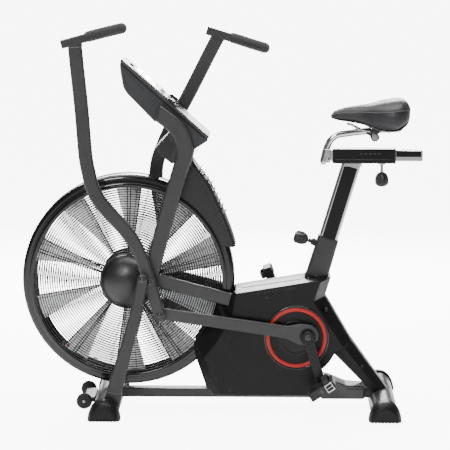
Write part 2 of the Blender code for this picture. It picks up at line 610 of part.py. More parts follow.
node("console_panel", prism([plate_pt(0, -11), plate_pt(pl, -11), plate_pt(pl, 0), plate_pt(0, 0)], -84, 84), plastic("console_panel_plastic", r=0.35), bevel=4, segments=2, angle=50)
node("console_screen", prism([plate_pt(62, 0.3), plate_pt(222, 0.3), plate_pt(222, 2.3), plate_pt(62, 2.3)], -70, 70), mat("console_screen_glass", (0.02, 0.022, 0.025), 0.08, 0.0))
CONSOLE_BODY = [plate_pt(3, -11.4), plate_pt(pl - 4, -11.4), (-46, 874), (-94, 843), (-134, 812), (-161, 799), (-190, 821), (-200, 834), (-210, 850), (-175, 892), (-168, 905), (-205, 938), (-215, 933), (-306, 1026.6), (-315.7, 1044.4), (-323.4, 1088.8), (-326, 1116)]
node("console_body", prism(CONSOLE_BODY, -75.6, 75.6), plastic("console_body_plastic", r=0.42))

# ---------------------------------------------------------------- drive
node("crank_axle", lathe([(0, -101), (10, -101), (10, 33.5), (PULLEY_BIG + 3, 33.5), (PULLEY_BIG + 3, 35), (PULLEY_BIG - 2.3, 35), (PULLEY_BIG - 2.3, 45), (PULLEY_BIG + 3, 45), (PULLEY_BIG + 3, 46.5), (10, 46.5), (10, 101), (0, 101)], *CRANK, n=24), steel("crank_axle_steel"), origin=(CRANK[0], 0, CRANK[1]))
node("jackshaft", lathe([(0, -20), (8, -20), (8, 33.5), (PULLEY_SMALL + 3, 33.5), (PULLEY_SMALL + 3, 35), (PULLEY_SMALL, 35), (PULLEY_SMALL, 45), (PULLEY_SMALL + 3, 45), (PULLEY_SMALL + 3, 46.5), (8, 46.5), (8, 62.8), (PULLEY_SMALL + 3, 62.8), (PULLEY_SMALL + 3, 63.8), (PULLEY_SMALL, 63.8), (PULLEY_SMALL, 72.2), (PULLEY_SMALL + 3, 72.2), (PULLEY_SMALL + 3, 73.2), (0, 73.2)], *JACK, n=14), steel("jackshaft_steel"), origin=(JACK[0], 0, JACK[1]))


def belt(a, ra, b, rb, y0, y1):
    outer = taper_round(a, ra + 3.0, b, rb + 3.0, 10) if ra != rb else obround(a, b, ra + 3.0, 10)
    inner = taper_round(a, ra + 0.5, b, rb + 0.5, 10) if ra != rb else obround(a, b, ra + 0.5, 10)
    n = len(outer)
    bm = bmesh.new()
    rows = [[bm.verts.new(P(x, y, z)) for x, z in pts] for pts, y in ((outer, y0), (outer, y1), (inner, y1), (inner, y0))]
    for i in range(n):
        j = (i + 1) % n
        for k in range(4):
            m = (k + 1) % 4
            bm.faces.new((rows[k][i], rows[k][j], rows[m][j], rows[m][i]))
    clean(bm)
    return bm


node("drive_belt_lower", belt(CRANK, PULLEY_BIG, JACK, PULLEY_SMALL, 35.5, 44.5), mat("drive_belt_lower_rubber", (0.02, 0.02, 0.02), 0.7, 0.0))
node("drive_belt_upper", belt(JACK, PULLEY_SMALL, FAN, PULLEY_SMALL, 64.3, 71.7), mat("drive_belt_upper_rubber", (0.02, 0.02, 0.02), 0.7, 0.0))

for side, s in SIDES:
    k = -s                       # the left side carries the stated offsets, the right side their opposites
    j = (CRANK[0] + k * JOURNAL[0], CRANK[1] + k * JOURNAL[1])
    p = (CRANK[0] + k * PEDAL_OFF[0], CRANK[1] + k * PEDAL_OFF[1])
    disc = lathe([(0, s * 101.3), (40, s * 101.3), (40, s * 98.6), (59, s * 98.6), (59, s * 101), (56, s * 102.4), (0, s * 102.4)], *CRANK, n=28)
    web = cutter(f"crank_web_{side}", prism(obround(CRANK, j, 21), *ys(s, (101.8, 109.0))))
    pin = cutter(f"journal_{side}", cyl(*j, 12, *ys(s, (108.0, 133.9)), 18))
    node(f"crank_hub_{side}", disc, plastic(f"crank_hub_{side}_black", r=0.35), origin=(CRANK[0], 0, CRANK[1]), joins=[web, pin])
    arm = prism(taper_round(j, 20, p, 13), *ys(s, Y_CRANK))
    spindle = cutter(f"spindle_{side}", cyl(*p, 6.5, *ys(s, (146.0, 242.0)), 20))
    node(f"crank_arm_{side}", arm, mat(f"crank_arm_{side}_steel", (0.05, 0.05, 0.052), 0.22, 0.6), origin=(CRANK[0], 0, CRANK[1]), bevel=2.5, segments=1, angle=60, joins=[spindle])
    # connecting rod: small end at the arm's lower pin, big end on the journal
    if s < 0:
        small = PIN
    else:
        a = math.radians(-ARM_SWING)
        vx, vz = PIN[0] - PIVOT[0], PIN[1] - PIVOT[1]
        small = (PIVOT[0] + vx * math.cos(a) - vz * math.sin(a), PIVOT[1] + vx * math.sin(a) + vz * math.cos(a))
    rod = prism(ribbon([(small[0], small[1], 37), (small[0] * 0.5 + j[0] * 0.5, small[1] * 0.5 + j[1] * 0.5, 40), (j[0] - 20, j[1] + 3.5, 43)], 1, "round", "flat"), *ys(s, Y_ROD))
    big = cutter(f"rod_big_end_{side}", cyl(j[0], j[1] + 3, 34, *ys(s, Y_ROD), 24))
    bores = [cutter(f"rod_bore_a_{side}", cyl(*j, 12.4, *sorted((s * 100, s * 140)), 18)), cutter(f"rod_bore_b_{side}", cyl(*small, 8.3, *sorted((s * 100, s * 140)), 14))]
    node(f"con_rod_{side}", rod, painted(f"con_rod_{side}_paint"), origin=(j[0], 0, j[1]), joins=[big], cuts=bores)

    # pedal: block on the spindle, tilted, with a toe strap arched over it
    tilt = math.radians(34 if s < 0 else 111)
    ct, st = math.cos(tilt), math.sin(tilt)

    def pt(a, b):
        return (p[0] + ct * a - st * b, p[1] + st * a + ct * b)

    block = prism([pt(-45, -8), pt(-40, -13), pt(40, -13), pt(45, -8), pt(45, 8), pt(40, 13), pt(-40, 13), pt(-45, 8)], *ys(s, Y_PEDAL))
    wins = [cutter(f"pedal_window_{side}_{q}", prism([pt(x0, -30), pt(x1, -30), pt(x1, 30), pt(x0, 30)], *ys(s, (172.0, 230.0)))) for q, (x0, x1) in enumerate(((-35, -15), (15, 35)))]
    node(f"pedal_{side}", block, plastic(f"pedal_{side}_plastic", (0.03, 0.03, 0.032), 0.5), origin=(p[0], 0, p[1]), cuts=wins + [cutter(f"pedal_bore_{side}", cyl(*p, 6.9, *sorted((s * 150, s * 250)), 20))])
    # strap loop round the front half of the pedal, standing clear of it
    sec_o = [(153.2, -15.8), (248.8, -15.8), (248.8, 16), (240, 27.5), (224, 32), (178, 32), (162, 27.5), (153.2, 16)]
    sec_i = [(155.4, -13.5), (246.6, -13.5), (246.6, 15), (238.6, 25.3), (223.2, 29.6), (178.8, 29.6), (163.4, 25.3), (155.4, 15)]
    x0, x1 = (15.5, 34.5)
    bm = bmesh.new()
    rows = []
    for pts_, a in ((sec_o, x0), (sec_o, x1), (sec_i, x1), (sec_i, x0)):
        row = []
        for yy, h in pts_:
            q = pt(a, h)
            row.append(bm.verts.new(P(q[0], s * yy, q[1])))
        rows.append(row)
    for i in range(8):
        jn = (i + 1) % 8
        for kk in range(4):
            m = (kk + 1) % 4
            bm.faces.new((rows[kk][i], rows[kk][jn], rows[m][jn], rows[m][i]))
    clean(bm)
    node(f"pedal_strap_{side}", bm, mat(f"pedal_strap_{side}_rubber", (0.025, 0.025, 0.026), 0.6, 0.0), origin=(p[0], 0, p[1]))

# ---------------------------------------------------------------- handle arms
ARM_LINE = [(-461, 1181, 44), (-455.5, 1118, 44), (-449, 1053, 44), (-441, 968, 44), (-431, 836, 44), (-421.5, 780, 44), (-411, 736, 44), (-389, 691, 44), (-352, 646, 43.5), (-310, 600, 43), (-278, 555, 41), (-256.5, 509, 39.5), (-241, 462, 39), (-230.5, 430, 38.5), (-214, 375, 38), (PIN[0], PIN[1], 38)]
GRIP_START, GRIP_END = (-421, 1205), (-303, 1235)


def turned(pt_, deg):
    """Swings an (x, z) point about the arm pivot, rearward for positive degrees."""
    a = -math.radians(deg)
    vx, vz = pt_[0] - PIVOT[0], pt_[1] - PIVOT[1]
    return (PIVOT[0] + vx * math.cos(a) - vz * math.sin(a), PIVOT[1] + vx * math.sin(a) + vz * math.cos(a))


for side, s in SIDES:
    deg = 0.0 if s < 0 else ARM_SWING
    outline = [turned(q, deg) for q in ribbon(ARM_LINE, 1, "flat", "round")]
    arm = prism(outline, *ys(s, Y_ARM))
    yc = s * 147.0

    def g3(x, z, y):
        q = turned((x, z), deg)
        return (q[0], y, q[1])

    bar_pts = [g3(-500, 1186, yc), g3(-420, 1208, yc), g3(-380, 1219, yc + s * 2), g3(-340, 1229, yc + s * 10), g3(-312, 1236, yc + s * 22)]
    bar = cutter(f"grip_bar_{side}", tube3d(bar_pts, 13.5, 10, 2))
    bolt = cutter(f"arm_bolt_{side}", lathe([(0, s * 131), (7.5, s * 131), (7.5, s * 158), (9.5, s * 158), (9.5, s * 163), (7, s * 165.5), (0, s * 165.5)], *turned(PIN, deg), n=12))
    bore = cutter(f"arm_bore_{side}", cyl(*PIVOT, 8.8, *sorted((s * 120, s * 170)), 16))
    node(f"arm_{side}", arm, painted(f"arm_{side}_paint"), origin=(PIVOT[0], 0, PIVOT[1]), bevel=5, segments=1, angle=60, joins=[bar, bolt], cuts=[bore])
    # foam grip: sleeve with a closed rounded end, sliding over the bar
    gp = [g3(-421, 1207.7, yc), g3(-400, 1213.6, yc + s * 0.6), g3(-380, 1219, yc + s * 2), g3(-340, 1229, yc + s * 10), g3(-306, 1237.4, yc + s * 24.6)]
    sleeve = tube3d(gp, 17.5, 12, 2)
    hole_pts = [g3(-500, 1186, yc), g3(-420, 1208, yc), g3(-380, 1219, yc + s * 2), g3(-340, 1229, yc + s * 10), g3(-311.6, 1236.1, yc + s * 22.2)]
    hole = cutter(f"grip_hole_{side}", tube3d(hole_pts, 14.2, 10, 2))
    node(f"grip_{side}", sleeve, mat(f"grip_{side}_foam", (0.022, 0.022, 0.022), 0.8, 0.0), origin=(PIVOT[0], 0, PIVOT[1]), cuts=[hole])

# ---------------------------------------------------------------- seat
post_bm = loft([seat_section(-196, 30, 18, 6), seat_section(252.5, 30, 18, 6)])
top_cut = cutter("post_top_cut", prism([(300, 795.4), (600, 795.4), (600, 900), (300, 900)], -60, 60))
node("seat_post", post_bm, chrome("seat_post_chrome"), origin=(SEAT_TOP[0], 0, SEAT_TOP[1]), cuts=[top_cut])

sleeve_bm = prism([(352, 795.8), (553.5, 795.8), (553.5, 843), (352, 843)], -25, 25)
bar_hole = cutter("slider_hole", prism([(300, 802.2), (600, 802.2), (600, 838.6), (300, 838.6)], -20.4, 20.4))
sk = (511.0, 0.0, 795.8)
sk_hole = cutter("slider_knob_hole", lathe_dir([(0, -12), (5.4, -12), (5.4, 30), (0, 30)], (sk[0], 0, 796.0), (0, 0, 1), 16))
node("slider_sleeve", sleeve_bm, painted("slider_sleeve_paint"), origin=(SEAT_TOP[0], 0, SEAT_TOP[1]), bevel=4, segments=2, angle=50, cuts=[bar_hole, sk_hole])
slider = prism([(345, 802.6), (639.5, 802.6), (639.5, 838.2), (345, 838.2)], -20, 20)
node("slider_bar", slider, chrome("slider_bar_chrome"), origin=(345, 0, 820), bevel=3, segments=1, angle=50)
stem_pts = [(323, 0, 800), (327, 0, 818), (333, 0, 842), (345, 0, 868), (366, 0, 885), (398, 0, 891), (432, 0, 895.5), (468, 0, 899)]
stem_foot = cutter("stem_foot", prism([(313, 797), (344.6, 797), (344.6, 842), (320, 842)], -20, 20))
clamp_barrel = cutter("seat_clamp_barrel", cyl(487, 881, 14, -30, 30, 20))
clamp_web = cutter("seat_clamp_web", prism([(462, 889), (470, 886), (487, 870), (494, 880), (487, 893), (470, 905), (462, 908)], -11, 11))
node("seat_stem", tube3d(stem_pts, 11, 10, 1), chrome("seat_stem_chrome"), origin=(345, 0, 820), joins=[stem_foot, clamp_web, clamp_barrel])
rails_pts = [(566, 27, 903), (540, 25, 899.4), (500, 24, 898.9), (470, 22, 899.4), (440, 17, 905), (415, 11, 918), (402, 5, 921.5), (400, 0, 922), (402, -5, 921.5), (415, -11, 918), (440, -17, 905), (470, -22, 899.4), (500, -24, 898.9), (540, -25, 899.4), (566, -27, 903)]
SADDLE = [  # x, half width, bottom, top
    (346, 10, 944, 952), (353, 17, 940.5, 959), (368, 24, 936, 967.5), (395, 31, 932, 976.5), (430, 40, 927, 983), (462, 55, 920.5, 987.5), (490, 76, 911.5, 995),
    (518, 94, 908, 1003.5), (545, 102, 907.5, 1008.5), (568, 98, 914, 1009.5), (586, 81, 926, 1000.5), (595, 58, 940, 988), (598.5, 34, 952, 974)]


def saddle_ring(x, hw, lo, hi):
    ring = []
    mid = lo + (hi - lo) * 0.42
    for k in range(16):
        a = 2 * math.pi * k / 16
        c, sn = math.cos(a), math.sin(a)
        y = hw * math.copysign(abs(c) ** 0.72, c)
        z = mid + (hi - mid) * max(sn, 0) ** 0.8 - (mid - lo) * max(-sn, 0) ** 0.8
        ring.append(P(x, y, z))
    return ring


node("saddle_rails", tube3d(rails_pts, 3.5, 6, 1), steel("saddle_rails_steel"), origin=(487, 0, 881))
node("saddle", loft([saddle_ring(*q) for q in SADDLE]), mat("saddle_cover", (0.02, 0.02, 0.022), 0.45, 0.0), origin=(487, 0, 881))


def knob(name, base, direction, reach, pin_r, shift, matn):
    """Fluted knob on a stem: stem, grip with five lobes, and the locking pin."""
    d = Vector(direction).normalized()
    u = Vector((0, 1, 0))
    v = d.cross(u)
    n = 20
    secs = []
    for h, r, lob in ((reach, 9, 0.0), (reach + 3, 13, 0.3), (reach + 9, 17.5, 1.0), (reach + 20, 22, 1.0), (reach + 34, 22, 1.0), (reach + 42, 19, 0.9), (reach + 45.5, 13, 0.3)):
        ring = []
        for k in range(n):
            a = 2 * math.pi * k / n
            rr = r * (1 - 0.1 * lob * (0.5 - 0.5 * math.cos(5 * a)))
            ring.append(P(*base) + (u * math.cos(a) + v * math.sin(a)) * (rr * MM) + d * (h * MM))
        secs.append(ring)
    head = loft(secs)
    stem = cutter(f"{name}_stem", lathe_dir([(0, shift), (pin_r, shift), (pin_r, reach + 10), (0, reach + 10)], base, direction, 16))
    return node(name, head, plastic(matn, (0.02, 0.02, 0.02), 0.5), origin=base, joins=[stem])


knob("height_knob", (kb[0], 0, kb[1]), knob_bore_dir, 61.5, 5.0, 30.7, "height_knob_plastic")
knob("slider_knob", (sk[0], 0, 795.8), (0, 0, -1), 29.5, 5.0, -6.0, "slider_knob_plastic")

# ---------------------------------------------------------------- transport wheels
WHEEL = (-447.0, 29.5)
arm_plate = prism([(-452, 24), (-441, 24), (-414, 20), (-414, 36), (-440, 38), (-452, 35)], -70, 70)
# bracket: a bar from the stabiliser forward, and an axle across both wheels
bracket = cutter("wheel_axle", cyl(*WHEEL, 5, -104, 104, 16))
node("wheel_bracket", arm_plate, painted("wheel_bracket_paint"), joins=[bracket], cuts=[cutter("d_front_small", prism([(FRONT_X + x, z) for x, z in grown(D_TUBE, 0.5)], -213, 213))])
for side, s in SIDES:
    node(f"wheel_{side}", lathe([(5.4, s * 84), (21, s * 84), (25.5, s * 87.5), (25.5, s * 98.5), (21, s * 102), (5.4, s * 102)], *WHEEL, n=20), mat(f"wheel_{side}_rubber", (0.03, 0.03, 0.032), 0.55, 0.0), origin=(WHEEL[0], 0, WHEEL[1]))
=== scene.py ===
"""Looks of an air-resistance exercise bike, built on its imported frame.

Lengths are in millimetres and scaled once. X runs along the bike (rear is +X), Z is up, the bike's left is -Y.
"""
import json
import math

import bmesh
import bpy
from mathutils import Matrix, Vector, noise

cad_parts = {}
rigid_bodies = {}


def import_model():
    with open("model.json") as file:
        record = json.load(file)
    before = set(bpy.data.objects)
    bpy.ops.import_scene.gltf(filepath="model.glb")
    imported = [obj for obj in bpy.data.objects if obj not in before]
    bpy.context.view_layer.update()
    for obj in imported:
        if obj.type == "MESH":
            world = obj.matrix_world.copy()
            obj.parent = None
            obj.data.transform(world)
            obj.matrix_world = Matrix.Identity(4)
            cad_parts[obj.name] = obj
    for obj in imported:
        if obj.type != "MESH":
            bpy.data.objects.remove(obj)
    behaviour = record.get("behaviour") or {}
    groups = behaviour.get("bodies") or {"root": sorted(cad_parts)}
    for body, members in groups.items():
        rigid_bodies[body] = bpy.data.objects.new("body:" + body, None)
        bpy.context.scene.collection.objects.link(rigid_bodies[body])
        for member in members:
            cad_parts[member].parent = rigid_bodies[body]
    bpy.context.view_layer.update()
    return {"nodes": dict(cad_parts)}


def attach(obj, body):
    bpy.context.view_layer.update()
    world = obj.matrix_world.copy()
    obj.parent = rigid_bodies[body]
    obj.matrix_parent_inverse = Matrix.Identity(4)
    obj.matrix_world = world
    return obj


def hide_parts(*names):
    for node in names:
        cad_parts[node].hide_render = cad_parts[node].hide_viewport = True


for old in list(bpy.data.objects):
    bpy.data.objects.remove(old, do_unlink=True)

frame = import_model()
NODES = frame["nodes"]

MM = 0.001
X_SHIFT = 4.25
FAN = (-305.0, 418.0)
CAGE_R = 317.0
BAND_R = 343.0
CAGE_HALF = 57.0
HUB_R = 88.0
HUB_DEPTH = 60.0
CRANK = (238.0, 241.0)
JOURNAL = (36.0, 10.5)
PEDAL_OFF = (80.6, -142.5)
JACK = (110.0, 345.0)
PIVOT = (-230.0, 430.0)
PIN = (-198.5, 323.5)
ARM_SWING = 32.5
Y_FRAME = (76.0, 102.0)
Y_STRUT = (76.0, 93.0)
Y_COVER = 98.0
Y_RING = (98.3, 101.3)
Y_ROD = (110.0, 130.0)
Y_ARM = (134.0, 160.0)
Y_PLATE = (161.5, 166.5)
Y_LEG = (168.0, 196.0)
Y_CRANK = (134.3, 148.0)
Y_PEDAL = (156.0, 246.0)
FRONT_X = -373.0
REAR_X = 518.0
FOOT_Y = (215.0, 267.0)
SEAT_DIR = Vector((0.289, 0.0, 0.957)).normalized()
SEAT_TOP = (341.0, 552.0)
WHEEL = (-447.0, 29.5)
SIDES = (("left", -1), ("right", 1))

look = bpy.data.collections.new("looks")
bpy.context.scene.collection.children.link(look)
tools = bpy.data.collections.new("tools")
bpy.context.scene.collection.children.link(tools)


# ---------------------------------------------------------------- shape helpers
def P(x, y, z):
    return Vector(((x + X_SHIFT) * MM, y * MM, z * MM))


def clean(bm):
    bmesh.ops.remove_doubles(bm, verts=bm.verts, dist=1e-6)
    bmesh.ops.dissolve_degenerate(bm, edges=bm.edges, dist=1e-6)
    bmesh.ops.recalc_face_normals(bm, faces=bm.faces)


def prism(pts, y0, y1):
    bm = bmesh.new()
    vs = [bm.verts.new(P(x, y0, z)) for x, z in pts]
    f = bm.faces.new(vs)
    r = bmesh.ops.extrude_face_region(bm, geom=[f])
    up = [v for v in r["geom"] if isinstance(v, bmesh.types.BMVert)]
    bmesh.ops.translate(bm, verts=up, vec=Vector((0, (y1 - y0) * MM, 0)))
    clean(bm)
    return bm


def circle(x, z, r, n=48, phase=0.0):
    return [(x + r * math.cos(phase + 2 * math.pi * i / n), z + r * math.sin(phase + 2 * math.pi * i / n)) for i in range(n)]


def cyl(x, z, r, y0, y1, n=48):
    return prism(circle(x, z, r, n), y0, y1)


def lathe(profile, x, z, n=64, closed=True):
    """(radius, y) profile turned about the Y line through (x, z)."""
    bm = bmesh.new()
    vs = [bm.verts.new(P(x + r, y, z)) for r, y in profile]
    m = len(vs)
    es = [bm.edges.new((vs[i], vs[(i + 1) % m])) for i in range(m if closed else m - 1)]
    bmesh.ops.spin(bm, geom=vs + es, cent=P(x, 0, z), axis=(0, 1, 0), dvec=(0, 0, 0), angle=2 * math.pi, steps=n, use_merge=True, use_duplicate=False)
    clean(bm)
    return bm


def lathe_dir(profile, base, direction, n=32):
    bm = bmesh.new()
    d = Vector(direction).normalized()
    side = d.orthogonal().normalized()
    c = P(*base)
    vs = [bm.verts.new(c + side * (r * MM) + d * (h * MM)) for r, h in profile]
    es = [bm.edges.new((vs[i], vs[(i + 1) % len(vs)])) for i in range(len(vs))]
    bmesh.ops.spin(bm, geom=vs + es, cent=c, axis=d, dvec=(0, 0, 0), angle=2 * math.pi, steps=n, use_merge=True, use_duplicate=False)
    clean(bm)
    return bm


def smooth_path(pts, per):
    out = []
    n = len(pts)
    for i in range(n - 1):
        p0 = pts[max(i - 1, 0)]
        p1, p2 = pts[i], pts[i + 1]
        p3 = pts[min(i + 2, n - 1)]
        for k in range(per):
            t = k / per
            out.append(tuple(0.5 * (2 * b + (c - a) * t + (2 * a - 5 * b + 4 * c - d) * t * t + (3 * b - a - 3 * c + d) * t ** 3) for a, b, c, d in zip(p0, p1, p2, p3)))
    out.append(tuple(pts[-1]))
    return out


def smooth_ring(pts, per):
    """Catmull-Rom round a closed outline."""
    n = len(pts)
    out = []
    for i in range(n):
        a, b, c, d = pts[i - 1], pts[i], pts[(i + 1) % n], pts[(i + 2) % n]
        for k in range(per):
            t = k / per
            out.append(tuple(0.5 * (2 * q + (r - p) * t + (2 * p - 5 * q + 4 * r - s) * t * t + (3 * q - p - 3 * r + s) * t ** 3) for p, q, r, s in zip(a, b, c, d)))
    return out


def ribbon(pts, per=3, cap0="flat", cap1="flat", cap_n=14):
    path = smooth_path(pts, per) if per > 1 else list(pts)
    left, right = [], []
    n = len(path)
    tang = []
    for i in range(n):
        a, b = path[max(i - 1, 0)], path[min(i + 1, n - 1)]
        dx, dz = b[0] - a[0], b[1] - a[1]
        d = math.hypot(dx, dz)
        tang.append((dx / d, dz / d))
    for (x, z, w), (tx, tz) in zip(path, tang):
        left.append((x - tz * w / 2, z + tx * w / 2))
        right.append((x + tz * w / 2, z - tx * w / 2))
    end, start = [], []
    if cap1 == "round":
        x, z, w = path[-1]
        a0 = math.atan2(tang[-1][0], -tang[-1][1])
        end = [(x + w / 2 * math.cos(a0 - math.pi * k / cap_n), z + w / 2 * math.sin(a0 - math.pi * k / cap_n)) for k in range(1, cap_n)]
    if cap0 == "round":
        x, z, w = path[0]
        a0 = math.atan2(-tang[0][0], tang[0][1])
        start = [(x + w / 2 * math.cos(a0 - math.pi * k / cap_n), z + w / 2 * math.sin(a0 - math.pi * k / cap_n)) for k in range(1, cap_n)]
    return left + end + right[::-1] + start


def obround(a, b, r, n=20):
    d = math.atan2(b[1] - a[1], b[0] - a[0])
    out = []
    for k in range(n + 1):
        t = d - math.pi / 2 + math.pi * k / n
        out.append((b[0] + r * math.cos(t), b[1] + r * math.sin(t)))
    for k in range(n + 1):
        t = d + math.pi / 2 + math.pi * k / n
        out.append((a[0] + r * math.cos(t), a[1] + r * math.sin(t)))
    return out


def taper_round(a, ra, b, rb, n=20):
    dx, dz = b[0] - a[0], b[1] - a[1]
    length = math.hypot(dx, dz)
    d = math.atan2(dz, dx)
    off = math.acos((ra - rb) / length)
    out = []
    for k in range(n + 1):
        t = d - off + 2 * off * k / n
        out.append((b[0] + rb * math.cos(t), b[1] + rb * math.sin(t)))
    rest = 2 * math.pi - 2 * off
    for k in range(n + 1):
        t = d + off + rest * k / n
        out.append((a[0] + ra * math.cos(t), a[1] + ra * math.sin(t)))
    return out


def loft(sections, closed_ends=True):
    bm = bmesh.new()
    rings = [[bm.verts.new(p) for p in s] for s in sections]
    for a, b in zip(rings, rings[1:]):
        for i in range(len(a)):
            j = (i + 1) % len(a)
            bm.faces.new((a[i], a[j], b[j], b[i]))
    if closed_ends:
        bm.faces.new(rings[0][::-1])
        bm.faces.new(rings[-1])
    clean(bm)
    return bm


def tube3d(pts, r, n=24, per=6, domes=0):
    """Round tube along a smoothed centre line. domes rounds both ends off."""
    path = [P(*p) for p in (smooth_path(pts, per) if per > 1 else pts)]
    up = Vector((0.0, 0.0, 1.0))
    rings = []
    for i, c in enumerate(path):
        t = (path[min(i + 1, len(path) - 1)] - path[max(i - 1, 0)]).normalized()
        if i == 0:
            u = t.cross(up if abs(t.z) < 0.9 else Vector((0, 1, 0))).normalized()
        else:
            u = (u - t * u.dot(t)).normalized()
        v = t.cross(u)
        rr = r * MM if not callable(r) else r(i / (len(path) - 1)) * MM
        rings.append((c, u, v, t, rr))
    secs = []

    def ring(c, u, v, rr):
        return [c + (u * math.cos(2 * math.pi * k / n) + v * math.sin(2 * math.pi * k / n)) * rr for k in range(n)]

    if domes:
        c, u, v, t, rr = rings[0]
        for k in range(domes, 0, -1):
            a = math.pi / 2 * k / (domes + 0.35)
            secs.append(ring(c - t * (rr * math.sin(a)), u, v, rr * math.cos(a)))
    for c, u, v, t, rr in rings:
        secs.append(ring(c, u, v, rr))
    if domes:
        c, u, v, t, rr = rings[-1]
        for k in range(1, domes + 1):
            a = math.pi / 2 * k / (domes + 0.35)
            secs.append(ring(c + t * (rr * math.sin(a)), u, v, rr * math.cos(a)))
    return loft(secs)


def torus(x, y, z, R, r, n=128, m=8):
    """Ring of round wire about a Y line."""
    return lathe([(R + r * math.cos(2 * math.pi * k / m), y + r * math.sin(2 * math.pi * k / m)) for k in range(m)], x, z, n)


def merged(*bms):
    """Several bmeshes as one."""
    out = bmesh.new()
    for b in bms:
        me = bpy.data.meshes.new("part")
        b.to_mesh(me)
        b.free()
        out.from_mesh(me)
        bpy.data.meshes.remove(me)
    return out


def cutter(bm):
    me = bpy.data.meshes.new("cut")
    bm.to_mesh(me)
    bm.free()
    ob = bpy.data.objects.new("cut", me)
    tools.objects.link(ob)
    return ob


def piece(name, bm, body, mat, replaces=(), bevel=0.0, segments=3, angle=30, cuts=(), joins=(), sharp=34, subsurf=0):
    """One shown piece: bevel and Booleans are applied, so the mesh is final."""
    me = bpy.data.meshes.new(name)
    bm.to_mesh(me)
    bm.free()
    me.materials.append(mat)
    ob = bpy.data.objects.new(name, me)
    look.objects.link(ob)
    if bevel:
        m = ob.modifiers.new("edge", "BEVEL")
        m.width = bevel * MM
        m.segments = segments
        m.limit_method = "ANGLE"
        m.angle_limit = math.radians(angle)
        m.use_clamp_overlap = True
    for k, c in enumerate(joins):
        m = ob.modifiers.new(f"join{k}", "BOOLEAN")
        m.operation = "UNION"
        m.solver = "EXACT"
        m.object = c
    for k, c in enumerate(cuts):
        m = ob.modifiers.new(f"cut{k}", "BOOLEAN")
        m.operation = "DIFFERENCE"
        m.solver = "EXACT"
        m.object = c
    if subsurf:
        m = ob.modifiers.new("fine", "SUBSURF")
        m.levels = m.render_levels = subsurf
    if ob.modifiers:
        bpy.context.view_layer.update()
        dg = bpy.context.evaluated_depsgraph_get()
        fresh = bpy.data.meshes.new_from_object(ob.evaluated_get(dg))
        ob.modifiers.clear()
        ob.data = fresh
        fresh.name = name
        bpy.data.meshes.remove(me)
        me = fresh
    me.materials.clear()
    me.materials.append(mat)
    for poly in me.polygons:
        poly.material_index = 0
    me.shade_smooth()
    me.set_sharp_from_angle(angle=math.radians(sharp))
    m = ob.modifiers.new("normals", "WEIGHTED_NORMAL")
    m.keep_sharp = True
    m.weight = 60
    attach(ob, body)
    if replaces:
        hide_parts(*([replaces] if isinstance(replaces, str) else replaces))
    return ob


def ys(s, pair):
    a, b = s * pair[0], s * pair[1]
    return (min(a, b), max(a, b))


def inset_end(s, y_out, y_in):
    return ys(s, (y_in, y_out))


# ---------------------------------------------------------------- materials
class Nodes:
    """Small wrapper that builds a node material."""

    def __init__(self, name):
        self.mat = bpy.data.materials.new(name)
        self.mat.use_nodes = True
        self.t = self.mat.node_tree
        self.b = self.t.nodes["Principled BSDF"]
        self.co = self.t.nodes.new("ShaderNodeTexCoord").outputs["Object"]

    def add(self, kind, **inputs):
        n = self.t.nodes.new(kind)
        for k, v in inputs.items():
            key = k.replace("_", " ")
            if hasattr(v, "links") or isinstance(v, bpy.types.NodeSocket):
                self.t.links.new(v, n.inputs[key])
            else:
                n.inputs[key].default_value = v
        return n

    def noise(self, scale, detail=3.0, rough=0.55, dims=(1, 1, 1), out="Fac"):
        co = self.co
        if dims != (1, 1, 1):
            mp = self.add("ShaderNodeMapping", Vector=co)
            mp.inputs["Scale"].default_value = dims
            co = mp.outputs["Vector"]
        n = self.add("ShaderNodeTexNoise", Vector=co, Scale=scale, Detail=detail, Roughness=rough)
        return n.outputs[out]

    def cells(self, scale, feature="F1", rand=1.0, smooth=0.0):
        n = self.t.nodes.new("ShaderNodeTexVoronoi")
        n.feature = feature
        self.t.links.new(self.co, n.inputs["Vector"])
        n.inputs["Scale"].default_value = scale
        if "Randomness" in n.inputs:
            n.inputs["Randomness"].default_value = rand
        return n.outputs["Distance"]

    def ramp(self, fac, lo, hi, a=0.3, b=0.7):
        n = self.t.nodes.new("ShaderNodeMapRange")
        self.t.links.new(fac, n.inputs["Value"])
        n.inputs["From Min"].default_value = a
        n.inputs["From Max"].default_value = b
        n.inputs["To Min"].default_value = lo
        n.inputs["To Max"].default_value = hi
        return n.outputs["Result"]

    def mix(self, fac, c1, c2):
        n = self.t.nodes.new("ShaderNodeMix")
        n.data_type = "RGBA"
        if isinstance(fac, float):
            n.inputs[0].default_value = fac
        else:
            self.t.links.new(fac, n.inputs[0])
        for i, c in ((6, c1), (7, c2)):
            if isinstance(c, tuple):
                n.inputs[i].default_value = (*c, 1.0)
            else:
                self.t.links.new(c, n.inputs[i])
        return n.outputs[2]

    def bump(self, height, dist, strength=1.0, normal=None):
        n = self.t.nodes.new("ShaderNodeBump")
        self.t.links.new(height, n.inputs["Height"])
        n.inputs["Distance"].default_value = dist
        n.inputs["Strength"].default_value = strength
        if normal is not None:
            self.t.links.new(normal, n.inputs["Normal"])
        return n.outputs["Normal"]

    def put(self, name, v):
        if isinstance(v, (float, int)):
            self.b.inputs[name].default_value = v
        elif isinstance(v, tuple):
            self.b.inputs[name].default_value = (*v, 1.0)
        else:
            self.t.links.new(v, self.b.inputs[name])
        return self


